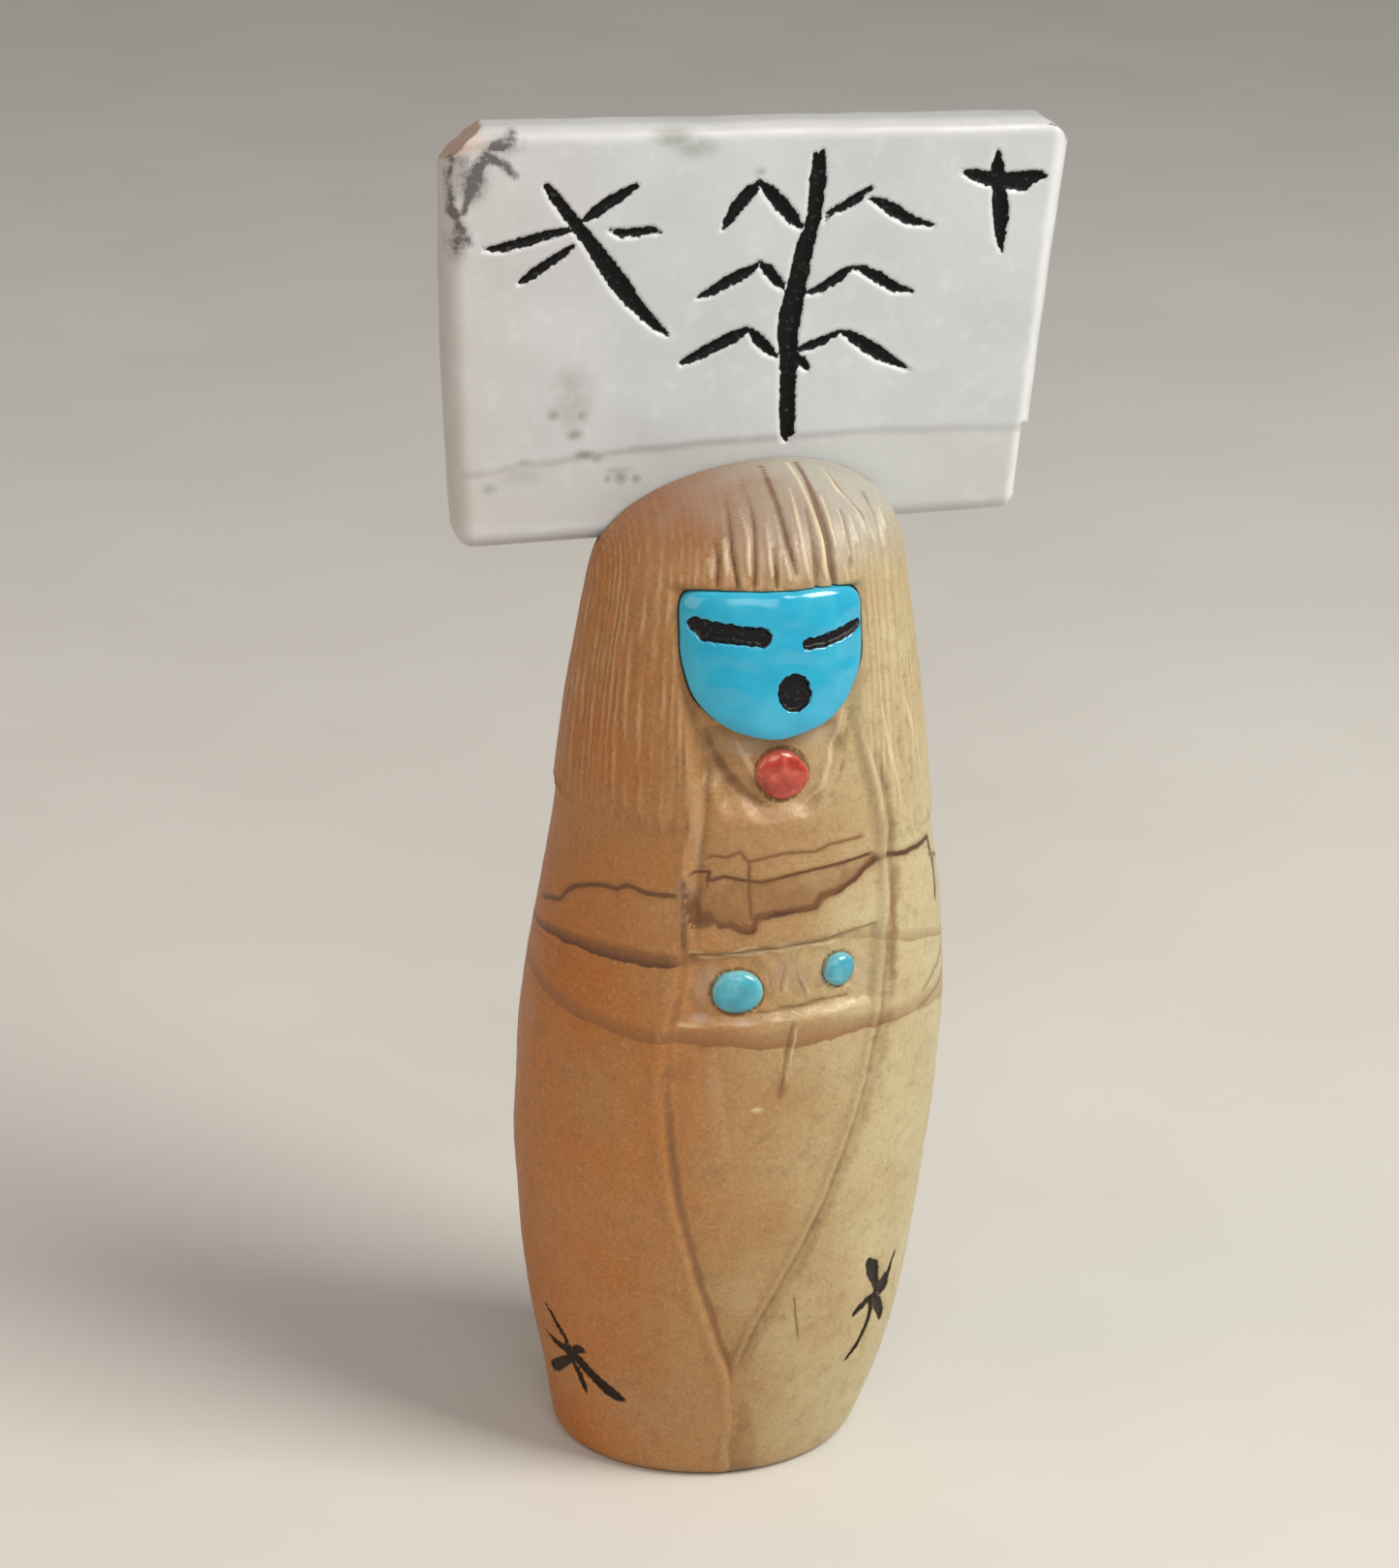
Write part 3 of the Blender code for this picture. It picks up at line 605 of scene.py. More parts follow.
        rough = put(tree, "MapRange", {0: grain, 3: self.roughness - 0.1, 4: self.roughness + 0.14})
        rough = put(tree, "Math", {0: grooves, 1: 0.25, 2: rough}, operation="MULTIPLY_ADD")
        chisel = put(tree, "Math", {0: mottle, 1: zones[1]}, operation="MULTIPLY")
        height = put(tree, "Math", {0: hair, 1: 0.5, 2: grain}, operation="MULTIPLY_ADD")
        height = put(tree, "Math", {0: chisel, 1: 2.0, 2: height}, operation="MULTIPLY_ADD")
        # The rubbed skin is uneven by about 0.05 mm
        normal = put(tree, "Bump", {"Strength": 0.7, "Distance": 0.00006, "Height": height})
        skin = {"Base Color": colour, "Roughness": rough, "IOR": self.ior, "Normal": normal}
        skin["Specular IOR Level"] = put(tree, "MapRange", {0: filled, 3: 0.5, 4: 0.15})
        put(tree, "OutputMaterial", {0: put(tree, "BsdfPrincipled", skin)})
        return material


@dataclass(frozen=True)
class BedGlue:
    """Dark epoxy and stone dust in the narrow gap round a set-in piece: a dull brown line."""

    colour: str = "#2c2018"
    dust: str = "#6b5647"
    roughness: float = 0.6

    def material(self) -> bpy.types.Material:
        """Builds the glue's material, with dust about 0.3 mm across.

        Returns:
            The material.
        """
        material, tree = blank_material("dusty_bed_glue")
        dust = put(tree, "TexNoise", {"Vector": in_millimetres(tree), "Scale": 2.5, "Detail": 3.0})
        mask = put(tree, "MapRange", {0: dust, 1: 0.45, 2: 0.7})
        colour = lay_over(tree, self.colour, [(self.dust, mask)])
        shader = put(tree, "BsdfPrincipled", {"Base Color": colour, "Roughness": self.roughness})
        put(tree, "OutputMaterial", {0: shader})
        return material


@dataclass(frozen=True)
class Howlite:
    """Polished white howlite: milky, with soft grey clouds, and black colour rubbed into the engraving.

    The polish gives a soft gloss, a painted highlight runs down the right edge, warm painted shade lies on
    the left and painted shade along the top edge, and the black has pale dust in it.
    """

    milk: str = "#c2c6ca"
    cloud: str = "#b3b7bb"
    warm: str = "#bcaea4"
    pale: str = "#e6e7e8"
    green: str = "#767a68"
    foot: str = "#b6b8b1"
    bruise: str = "#463f3e"
    chip: str = "#b48b6c"
    ink: str = "#080709"
    dust: str = "#6f7073"
    ior: float = 1.59
    roughness: float = 0.34

    def material(self) -> bpy.types.Material:
        """Builds the slab's material from its fields and noise in real millimetres.

        Returns:
            The material.
        """
        material, tree = blank_material("polished_howlite")
        place = in_millimetres(tree)
        bruise, green, chip = stored(tree, "marks")
        worn, warm, bevel = stored(tree, "edges")
        ink, strip = (put(tree, "Attribute", out=2, attribute_name=name) for name in ("ink", "strip"))
        # Clouds 12 mm across and wisps of 1.5 mm, all faint, and specks of 0.3 mm
        cloud = put(tree, "TexNoise", {"Vector": place, "Scale": 0.08, "Detail": 2.0, "Distortion": 0.4})
        wisp = put(tree, "TexNoise", {"Vector": place, "Scale": 0.7, "Detail": 4.0})
        speck = put(tree, "TexNoise", {"Vector": place, "Scale": 3.2, "Detail": 3.0})
        wobble = put(tree, "Math", {0: speck, 1: -0.5}, operation="ADD")
        drift = put(tree, "Math", {0: wisp, 1: -0.5}, operation="ADD")
        blotch = put(tree, "Math", {0: drift, 1: wobble}, operation="ADD")
        layers = [
            (self.cloud, put(tree, "MapRange", {0: cloud, 1: 0.35, 2: 0.7, 4: 0.8})),
            (self.pale, put(tree, "MapRange", {0: wisp, 1: 0.46, 2: 0.3, 4: 0.15})),
        ]
        for colour, noise, socket, amount, low, high, most in (
            (self.foot, drift, strip, 1.0, 0.0, 1.0, 0.4),
            # Warm painted shade on the left and painted shade along the top edge
            (self.warm, drift, warm, 0.8, 0.0, 1.0, 0.8),
            # Painted highlight down the right edge
            (self.pale, drift, worn, 0.8, 0.1, 1.0, 0.7),
            (self.green, drift, green, 1.6, 0.1, 0.7, 0.65),
            (self.chip, drift, chip, 1.5, 0.1, 0.8, 0.75),
            (self.bruise, blotch, bruise, 2.0, 0.05, 0.8, 0.9),
            # Painted highlight on the engraving's lower left walls
            (self.pale, drift, bevel, 0.3, 0.2, 1.0, 0.3),
        ):
            mixed = put(tree, "Math", {0: noise, 1: amount, 2: 1.0}, operation="MULTIPLY_ADD")
            mixed = put(tree, "Math", {0: mixed, 1: socket}, operation="MULTIPLY")
            layers.append((colour, put(tree, "MapRange", {0: mixed, 1: low, 2: high, 4: most})))
        ragged = put(tree, "Math", {0: wobble, 1: 0.3, 2: ink}, operation="MULTIPLY_ADD")
        filled = put(tree, "MapRange", {0: ragged, 1: 0.01, 2: 0.09, 3: 1.0, 4: 0.0})
        dusty = put(tree, "MapRange", {0: speck, 1: 0.6, 2: 0.74, 4: 0.3})
        layers.append((lay_over(tree, self.ink, [(self.dust, dusty)]), filled))
        rough = put(tree, "MapRange", {0: wisp, 3: self.roughness - 0.1, 4: self.roughness + 0.12})
        rough = put(tree, "Math", {0: filled, 1: 0.25, 2: rough}, operation="MULTIPLY_ADD")
        # Engraved edges break away in crumbs of 0.2 mm, and the polish is level to 0.02 mm
        sunk = put(tree, "MapRange", {0: ragged, 1: -0.1, 2: 0.2})
        height = put(tree, "Math", {0: speck, 1: 0.15, 2: sunk}, operation="MULTIPLY_ADD")
        normal = put(tree, "Bump", {"Strength": 0.8, "Distance": 0.00012, "Height": height})
        colour = lay_over(tree, self.milk, layers)
        skin = {"Base Color": colour, "Roughness": rough, "IOR": self.ior, "Normal": normal}
        skin["Specular IOR Level"] = put(tree, "MapRange", {0: filled, 3: 0.5, 4: 0.15})
        put(tree, "OutputMaterial", {0: put(tree, "BsdfPrincipled", skin)})
        return material


@dataclass(frozen=True)
class InlayStone:
    """A small domed and polished stone, with paler patches and a chalky worn rim.

    The polish gives one small sharp highlight, and the black in the cuts is dull.
    """

    name: str
    body: str
    deep: str
    pale: str
    ior: float
    roughness: float
    patch: float
    ink: str = "#0c0a0d"
    dust: str = "#77787e"

    def material(self) -> bpy.types.Material:
        """Builds the stone's material, with patches of the given size in millimetres.

        Returns:
            The material.
        """
        material, tree = blank_material(self.name)
        place = in_millimetres(tree)
        rim, ink = (put(tree, "Attribute", out=2, attribute_name=name) for name in ("rim", "ink"))
        patch = put(tree, "TexNoise", {"Vector": place, "Scale": 1 / self.patch, "Detail": 5.0})
        speck = put(tree, "TexNoise", {"Vector": place, "Scale": 4.0, "Detail": 3.0})
        wobble = put(tree, "Math", {0: speck, 1: -0.5}, operation="ADD")
        stops = ((0.3, self.deep), (0.52, self.body), (0.74, self.pale))
        flecks = put(tree, "MapRange", {0: speck, 1: 0.58, 2: 0.74, 4: 0.25})
        worn = put(tree, "Math", {0: wobble, 1: 0.4, 2: rim}, operation="MULTIPLY_ADD")
        worn = put(tree, "MapRange", {0: worn, 1: 0.02, 2: 0.22, 3: 0.7, 4: 0.0})
        ragged = put(tree, "Math", {0: wobble, 1: 0.2, 2: ink}, operation="MULTIPLY_ADD")
        filled = put(tree, "MapRange", {0: ragged, 1: 0.07, 2: 0.14, 3: 1.0, 4: 0.0})
        dusty = put(tree, "MapRange", {0: speck, 1: 0.6, 2: 0.72, 4: 0.25})
        black = lay_over(tree, self.ink, [(self.dust, dusty)])
        layers = [(self.deep, flecks), (self.pale, worn), (black, filled)]
        colour = lay_over(tree, put(tree, "ValToRGB", {0: patch}, stops=stops), layers)
        rough = put(tree, "MapRange", {0: patch, 3: self.roughness - 0.03, 4: self.roughness + 0.06})
        rough = put(tree, "Math", {0: filled, 1: 0.25, 2: rough}, operation="MULTIPLY_ADD")
        normal = put(tree, "Bump", {"Strength": 0.25, "Distance": 0.00003, "Height": speck})
        skin = {"Base Color": colour, "Roughness": rough, "IOR": self.ior, "Normal": normal}
        skin["Specular IOR Level"] = put(tree, "MapRange", {0: filled, 3: 0.5, 4: 0.2})
        put(tree, "OutputMaterial", {0: put(tree, "BsdfPrincipled", skin)})
        return material


TURQUOISE = InlayStone(
    "polished_turquoise", "#28a5c8", "#219dc1", "#3fafcd", ior=1.61, roughness=0.12, patch=2.6
)
PALE_TURQUOISE = InlayStone(
    "pale_polished_turquoise", "#45a3b8", "#358fa6", "#7dc0ca", ior=1.61, roughness=0.2, patch=1.4
)
CORAL = InlayStone(
    "polished_red_coral", "#b03d2e", "#8f2b20", "#c76553", ior=1.6, roughness=0.1, patch=0.8
)


@dataclass
class FigureForm:
    """The figure's plain form, which the set-in pieces are fitted to. Sizes are in millimetres.

    The outline and the sway give shares of the half width at shares of the height.
    """

    height: float = 75.7
    width: float = 31.4
    depth: float = 27.6
    foot_radius: float = 1.6
    foot_arc_left: float = 0.8
    dome_start: float = 0.898
    dome_power: float = 2.6
    dome_lean: float = 0.15
    outline: Line = (
        (0.0, 0.719), (0.132, 0.882), (0.264, 0.966), (0.396, 1.0), (0.476, 0.995), (0.555, 0.956),
        (0.661, 0.876), (0.793, 0.796), (0.898, 0.711), (1.0, 0.63),
    )
    sway: Line = (
        (0.0, -0.035), (0.06, -0.006), (0.26, 0.006), (0.4, 0.028), (0.53, 0.057), (0.8, 0.045),
        (1.0, 0.045),
    )

    def section(self, z: np.ndarray) -> tuple[np.ndarray, np.ndarray, np.ndarray]:
        """The level section of the plain form.

        Args:
            z: the height.

        Returns:
            The x of the section's middle, its half width and its half depth.
        """
        share = z / self.height
        up = np.clip((share - self.dome_start) / (1 - self.dome_start), 0, 1)
        low = np.clip(self.foot_arc_left * self.foot_radius - z, 0, self.foot_radius)
        round_in = self.foot_radius - np.sqrt(self.foot_radius**2 - low**2)
        wide = smooth_line(self.outline, share) * np.sqrt(1 - up**self.dome_power)
        middle = (smooth_line(self.sway, share) + self.dome_lean * up**2) * self.width / 2
        return middle, wide * self.width / 2 - round_in, wide * self.depth / 2 - round_in

    def front_y(self, x: np.ndarray, z: np.ndarray) -> np.ndarray:
        """The y of the plain front at a place seen from the front."""
        middle, half_width, half_depth = self.section(z)
        return -half_depth * np.sqrt(np.clip(1 - ((x - middle) / half_width) ** 2, 0, 1))

    def facing(self, x: float, z: float) -> float:
        """The angle about Z, from -Y towards +X, that the plain front faces at a place."""
        middle, half_width, half_depth = self.section(z)
        return math.atan2((x - middle) / half_width**2, -self.front_y(x, z) / half_depth**2)

    def turn_at(self, points: np.ndarray) -> np.ndarray:
        """The angle round the figure.

        Args:
            points: rows of points on its surface.

        Returns:
            One angle for each row, 0 at the front.
        """
        x, y, z = points.T
        middle, half_width, half_depth = self.section(np.clip(z, 0, self.height - 0.02))
        return np.arctan2((x - middle) / half_width, -y / half_depth)


@dataclass
class Inlay:
    """A domed stone set into the figure: its outline, its dome and its bed. Sizes are in millimetres."""

    form: FigureForm
    name: str
    x: float
    z: float
    diameter: float
    finish: InlayStone
    slot: Slot
    sunk: float
    proud: float = 0.7
    rim_proud: float = 0.1
    inset: float = 1.4
    dome_power: float = 2.4
    gap: float = 0.26
    squash: float = 1.0
    unevenness: float = 0.06
    skin_waves: float = 0.015
    seed: int = 1
    front_rings: int = 26
    shank_rings: int = 4
    segments: int = 72

    def place(self) -> Matrix:
        """Where the stone stands.

        Returns:
            The matrix from the stone's own frame, whose +Z looks out of the figure, to the figure's.
        """
        turn = self.form.facing(self.x, self.z)
        y = float(self.form.front_y(self.x, self.z))
        spot = Vector((self.x - self.sunk * math.sin(turn), y + self.sunk * math.cos(turn), self.z))
        turned = Matrix.Translation(spot) @ Matrix.Rotation(turn, 4, "Z")
        return turned @ Matrix.Rotation(math.pi / 2, 4, "X")

    def moved(self, points: np.ndarray) -> np.ndarray:
        """Rows of points in the stone's own frame moved to the figure's."""
        matrix = np.array(self.place())
        return points @ matrix[:3, :3].T + matrix[:3, 3]

    def build(self) -> bpy.types.Object:
        """Builds the stone: a slightly uneven dome on a straight shank.

        Returns:
            The dressed piece.
        """
        rings = self.front_rings + self.shank_rings
        ring, turn, faces = globe(rings, self.segments)
        front = ring <= self.front_rings
        shank = np.clip((rings - ring) / (self.shank_rings - 1), 0, 1)
        share = np.where(front, ring / self.front_rings, shank)
        around = np.column_stack((np.cos(turn), np.sin(turn)))
        rim = share * (self.diameter / 2 + self.unevenness * ripple(around, 2.2, self.seed))
        dome = np.sqrt(np.clip(1 - share**self.dome_power, 0, 1))
        up = np.where(front, self.rim_proud + (self.proud - self.rim_proud) * dome, -self.inset)
        points = np.column_stack((rim * np.cos(turn), rim * self.squash * np.sin(turn), up))
        waves = self.skin_waves * ripple(points[:, :2], 2.4, self.seed + 1)
        points[:, 2] += waves * (ring < self.front_rings)
        obj = make_piece("inlaid_" + self.name, self.moved(points), faces)
        keep_field(obj, "rim", np.where(front, (1 - share) * self.diameter / 2, 0))
        keep_field(obj, "ink", np.full(len(points), FAR))
        dress(obj, self.slot, self.name, self.finish.material())
        return obj

    def bed_cutter(self) -> bpy.types.Object:
        """Builds the drilled hole for the stone, wider by the glue gap.

        Returns:
            The closed shape to cut away.
        """
        rings = 3
        ring, turn, faces = globe(rings, self.segments)
        share = np.where((ring == 0) | (ring == rings), 0.0, 1.0)
        rim = share * self.diameter / 2
        up = np.where(ring <= 1, self.inset * 2, -self.inset - self.gap)
        wide, high = rim + share * self.gap, rim * self.squash + share * self.gap
        points = np.column_stack((wide * np.cos(turn), high * np.sin(turn), up))
        return make_piece(self.name + "_bed", self.moved(points), faces)


@dataclass
class Mask:
    """The turquoise mask, a flat-topped half oval bent to the head. Sizes are in millimetres."""

    form: FigureForm
    width: float = 12.9
    height: float = 10.2
    x: float = 0.2
    top: float = 69.23
    proud: float = 0.8
    rim_proud: float = 0.2
    inset: float = 0.9
    brow_share: float = 0.37
    brow_power: float = 7.0
    chin_power: float = 2.25
    dome_power: float = 6
    gap: float = 0.1
    groove_depth: float = 0.35
    rim_wander: float = 0.07
    skin_waves: float = 0.03
    ragged: float = 0.05
    front_rings: int = 96
    back_rings: int = 2
    segments: int = 288
    eyes_and_mouth: Strokes = (
        ((-5.3, 66.95, 0.9), (-4.7, 66.6, 1.3), (-3.4, 66.5, 1.22), (-2.2, 66.4, 1.1),
         (-1.0, 66.3, 1.2)),
        ((2.35, 65.7, 0.75), (2.65, 65.7, 0.5), (3.6, 65.82, 0.72), (4.8, 66.12, 0.74),
         (6.1, 66.5, 0.62)),
        ((1.3, 62.5, 2.2), (1.36, 62.2, 2.2)),
    )

    @property
    def middle_z(self) -> float:
        """The height from which the outline is drawn."""
        return self.top - self.brow_share * self.height

    def rim(self, angle: np.ndarray, grow: float = 0.0) -> np.ndarray:
        """The outline's distance from the middle.

        Args:
            angle: the angle round the middle, from the right.
            grow: how much bigger the outline is all round.

        Returns:
            The distance at each angle.
        """
        half = self.width / 2 + grow
        above = np.sin(angle) > 0
        high = np.where(above, self.brow_share, 1 - self.brow_share) * self.height + grow
        power = np.where(above, self.brow_power, self.chin_power)
        across, up = np.abs(np.cos(angle)) / half, np.abs(np.sin(angle)) / high
        wander = self.rim_wander * ripple(np.column_stack((np.cos(angle), np.sin(angle))) * 4, 3.0, 11)
        return (across**power + up**power) ** (-1 / power) + wander

    def bed(self, z: np.ndarray) -> np.ndarray:
        """The flat bed behind the mask.

        Args:
            z: the height.

        Returns:
            The bed's y at each height.
        """
        sides = np.array([self.x - self.width / 2, self.x + self.width / 2])
        ends = self.top, self.top - self.height
        top_y, foot_y = (self.form.front_y(sides, np.full(2, end)).max() + self.inset for end in ends)
        return foot_y + (top_y - foot_y) * (z - ends[1]) / self.height

    def build(self) -> bpy.types.Object:
        """Builds the mask with its engraved eyes and mouth.

        Returns:
            The dressed piece.
        """
        rings = self.front_rings + 1 + self.back_rings
        ring, turn, faces = globe(rings, self.segments)
        turn = -turn
        front = ring <= self.front_rings
        share = np.where(front, ring / self.front_rings, (rings - ring) / self.back_rings)
        x = self.x + share * self.rim(turn) * np.cos(turn)
        z = self.middle_z + share * self.rim(turn) * np.sin(turn)
        flat = np.column_stack((x, z))
        dome = np.sqrt(np.clip(1 - share**self.dome_power, 0, 1))
        proud = self.rim_proud + (self.proud - self.rim_proud) * dome
        proud = proud + self.skin_waves * ripple(flat, 3.0, 12)
        edge = from_strokes(x, z, self.eyes_and_mouth) + self.ragged * ripple(flat, 0.7, 13)
        sunk = self.groove_depth * (1 - rise(-0.15, 0.18, edge))
        y = np.where(front, self.form.front_y(x, z) - proud + sunk, self.bed(z))
        obj = make_piece("inlaid_mask", np.column_stack((x, y, z)), faces)
        keep_field(obj, "rim", np.where(front, (1 - share) * self.rim(turn), 0))
        keep_field(obj, "ink", np.where(front, edge, FAR))
        dress(obj, Slot.TURQUOISE, "turquoise_mask", TURQUOISE.material())
        return obj

    def bed_cutter(self) -> bpy.types.Object:
        """Builds the mask's bed, wider by the glue gap and open to the front.

        Returns:
            The closed shape to cut away.
        """
        cap_rings = 2
        rings = 2 * cap_rings + 1
        ring, turn, faces = globe(rings, self.segments // 2)
        turn = -turn
        share = np.clip(np.minimum(ring, rings - ring) / cap_rings, 0, 1)
        rim = share * self.rim(turn, self.gap)
        x, z = self.x + rim * np.cos(turn), self.middle_z + rim * np.sin(turn)
        y = np.where(ring <= cap_rings, -self.form.depth, self.bed(z) + self.gap)
        return make_piece("mask_bed", np.column_stack((x, y, z)), faces)


@dataclass
class SlabHeaddress:
    """The slab that stands in a slot across the crown. Sizes are in millimetres.

    Its strokes and spots are placed from the middle of its foot.
    """

    top_width: float = 44.9
    foot_width: float = 41.4
    height: float = 29.4
    thickness: float = 4.5
    edge_radius: float = 1.3
    left_bow: float = 0.4
    right_bow: float = -0.1
    foot_rise: float = 1.4
    lean: float = 0.5
    place: tuple[float, float, float] = (0.8, 3.75, 70.1)
    step_height: float = 7.15
    step_bow: float = 1.1
    step_peak: float = 0.5
    step_depth: float = 0.17
    step_notch: float = 0.4
    chip_width: float = 3.2
    chip_height: float = 2.9
    round_corner: float = 1.6
    groove_depth: float = 0.3
    cut_shift: tuple[float, float] = (0.12, 0.1)
    bevel_shift: tuple[float, float] = (0.2, 0.12)
    ragged: float = 0.05
    edge_wander: float = 0.04
    face_waves: float = 0.05
    gap: float = 0.08
    squares: tuple[int, int, int] = (256, 8, 166)
    engraving: Strokes = (
        ((-14.97, 25.43, 0.34), (-14.27, 24.47, 0.74), (-12.87, 22.68, 0.81), (-11.82, 21.36, 0.87),
         (-10.75, 19.89, 1.14), (-9.68, 18.42, 1.28), (-8.83, 17.3, 1.07), (-7.68, 16.02, 0.74),
         (-6.83, 15.23, 0.54), (-6.12, 14.65, 0.13)),
        ((-12.4, 22.87, 0.2), (-11.53, 23.46, 0.74), (-10.52, 24.18, 0.81), (-9.51, 24.77, 0.67),
         (-8.7, 25.29, 0.34)),
        ((-19.16, 21.07, 0.2), (-17.95, 21.18, 0.6), (-16.26, 21.61, 0.67), (-14.56, 22.04, 0.6),
         (-13.3, 22.28, 0.34)),
        ((-16.68, 18.69, 0.27), (-15.87, 19.28, 0.6), (-14.66, 20.07, 0.6), (-13.51, 20.79, 0.47),
         (-13.05, 21.18, 0.2)),
        ((-10.4, 22.21, 0.2), (-9.64, 21.98, 0.54), (-8.4, 22.02, 0.6), (-7.38, 22.2, 0.4),
         (-6.96, 21.98, 0.2)),
        ((4.08, 27.32, 0.13), (4.25, 26.64, 0.6)),
        ((4.6, 27.51, 0.13), (4.46, 26.63, 0.6)),
        ((4.36, 26.63, 0.87), (4.34, 25.47, 1.07), (4.16, 23.08, 0.94), (3.96, 21.91, 0.87),
         (3.59, 20.89, 1.14), (3.08, 17.78, 1.28), (2.68, 15.64, 1.54), (2.58, 14.45, 1.41),
         (2.67, 13.11, 1.21), (2.75, 11.28, 1.07), (2.78, 8.73, 1.07), (2.84, 7.23, 0.87),
         (2.75, 6.74, 0.27)),
        ((3.33, 22.0, 0.2), (2.67, 22.7, 0.81), (1.79, 23.69, 1.01), (0.92, 24.66, 0.81),
         (0.05, 25.43, 0.2)),
        ((0.13, 25.3, 0.27), (-0.54, 24.7, 0.87), (-1.41, 23.69, 0.87), (-2.06, 22.61, 0.54),
         (-2.33, 22.14, 0.2)),
        ((2.1, 17.74, 0.2), (1.66, 18.31, 0.67), (1.0, 19.02, 0.74), (0.34, 19.73, 0.13)),
        ((0.07, 19.39, 0.34), (-0.68, 18.93, 0.74), (-1.91, 18.34, 0.81), (-3.01, 17.68, 0.6),
         (-3.97, 17.29, 0.2)),
        ((1.73, 12.93, 0.27), (1.14, 13.44, 0.67), (0.41, 14.17, 0.74), (-0.18, 14.81, 0.27)),
        ((-0.39, 14.89, 0.4), (-1.35, 14.36, 0.81), (-2.59, 13.77, 0.81), (-3.83, 13.11, 0.74),
         (-4.94, 12.66, 0.4)),
        ((3.14, 12.89, 0.47), (3.66, 12.45, 0.6), (4.1, 11.94, 0.34)),
        ((4.99, 22.51, 0.13), (5.11, 22.99, 0.27), (6.28, 23.51, 0.6), (7.17, 24.04, 0.67),
         (8.26, 24.77, 0.2)),
        ((8.16, 24.02, 0.13), (8.95, 23.72, 0.6), (10.04, 23.08, 0.87), (11.13, 22.43, 0.67),
         (12.93, 21.97, 0.13)),
        ((4.01, 17.41, 0.27), (4.85, 17.66, 0.6), (5.81, 18.26, 0.67), (6.7, 18.87, 0.54),
         (7.19, 19.13, 0.13)),
        ((7.05, 19.13, 0.13), (7.98, 18.9, 0.6), (9.21, 18.24, 0.74), (10.31, 17.58, 0.67),
         (11.61, 17.26, 0.13)),
        ((3.34, 13.3, 0.27), (4.32, 13.55, 0.6), (5.3, 13.94, 0.54), (6.47, 14.61, 0.13)),
        ((6.48, 14.54, 0.2), (7.27, 14.16, 0.67), (8.38, 13.42, 0.94), (9.48, 12.75, 0.87),
         (11.54, 11.62, 0.13)),
        ((17.33, 27.39, 0.07), (17.36, 26.77, 0.4), (17.4, 26.08, 0.81), (17.66, 24.14, 0.94),
         (17.8, 23.1, 1.14), (17.85, 22.19, 0.94), (17.88, 21.15, 0.67), (17.94, 20.66, 0.4),
         (18.05, 20.02, 0.07)),
        ((15.0, 25.72, 0.27), (15.65, 25.57, 0.74), (16.52, 25.27, 0.94), (18.11, 25.03, 1.14),
         (19.33, 25.0, 1.41), (20.03, 25.26, 0.94), (20.59, 25.39, 0.6), (20.96, 25.31, 0.2)),
    )
    green_spots: Spots = (
        (-14.17, 9.13, 0.5, 0.5, 0.7),
        (-12.1, 9.05, 0.5, 0.5, 0.7),
        (-12.6, 7.7, 0.7, 0.45, 0.7),
        (-12.8, 10.4, 1.7, 2.6, 0.4),
        (-9.2, 4.35, 0.5, 0.5, 0.8),
        (-8.06, 4.24, 0.35, 0.35, 0.7),
        (-10.2, 4.3, 0.3, 0.35, 0.7),
        (-9.3, 4.9, 1.4, 0.3, 0.4),
        (-11.9, 6.2, 0.7, 0.35, 0.8),
        (-11.0, 5.8, 0.5, 0.4, 0.5),
        (-16.2, 5.8, 0.6, 0.25, 0.5),
        (-18.6, 3.9, 0.6, 0.4, 0.6),
        (-16.3, 4.6, 1.8, 0.8, 0.3),
        (-6.1, 28.6, 1.5, 0.6, 0.7),
        (-4.6, 27.9, 1.6, 0.8, 0.5),
        (0.1, 26.1, 0.5, 0.35, 0.5),
        (20.5, 7.2, 0.26, 0.26, 0.8),
    )
    chip_stain: Spots = ((-20.6, 28.4, 1.3, 0.9, 0.7),)
    bruises: Spots = (
        (-18.1, 28.3, 1.3, 0.6, 0.6),
        (-20.2, 25.9, 1.0, 1.3, 0.8),
        (-21.1, 21.7, 0.7, 1.3, 0.65),
        (-20.6, 27.2, 1.0, 0.5, 0.5),
    )
    bruise_lines: Strokes = (
        ((-19.4, 27.9, 0.2), (-18.7, 27.35, 0.4), (-18.0, 26.9, 0.3), (-17.2, 26.2, 0.15)),
        ((-19.2, 27.5, 0.3), (-19.8, 26.9, 0.6), (-20.0, 26.0, 0.8), (-20.4, 25.0, 0.5),
         (-20.8, 23.7, 0.1)),
        ((-21.4, 23.7, 0.4), (-21.1, 22.9, 0.3), (-20.6, 22.0, 0.25), (-20.3, 21.5, 0.1)),
        ((-21.6, 27.3, 0.1), (-21.7, 25.7, 0.2), (-21.5, 23.8, 0.15)),
        ((-18.9, 28.2, 0.4), (-18.2, 28.3, 0.7), (-17.4, 28.8, 0.5)),
    )

    def form(self, cube: np.ndarray, grow: float = 0.0) -> np.ndarray:
        """Points of a cube from -1 to 1 moved to the plain slab, in the slab's own frame.

        Args:
            cube: rows of x, y and z from -1 to 1.
            grow: how much bigger the slab is all round.

        Returns:
            Rows of x, y and z in millimetres from the middle of the slab's foot.
        """
        x, y, z = cube.T
        up = (z + 1) / 2
        half = (self.foot_width + (self.top_width - self.foot_width) * up) / 2
        half = half + np.where(x < 0, self.left_bow, self.right_bow) * 4 * up * (1 - up) + grow
        foot = self.foot_rise / 2 * x
        high = foot + (self.height - foot) * up + grow * z
        return np.column_stack((x * half + self.lean * up, y * (self.thickness / 2 + grow), high))

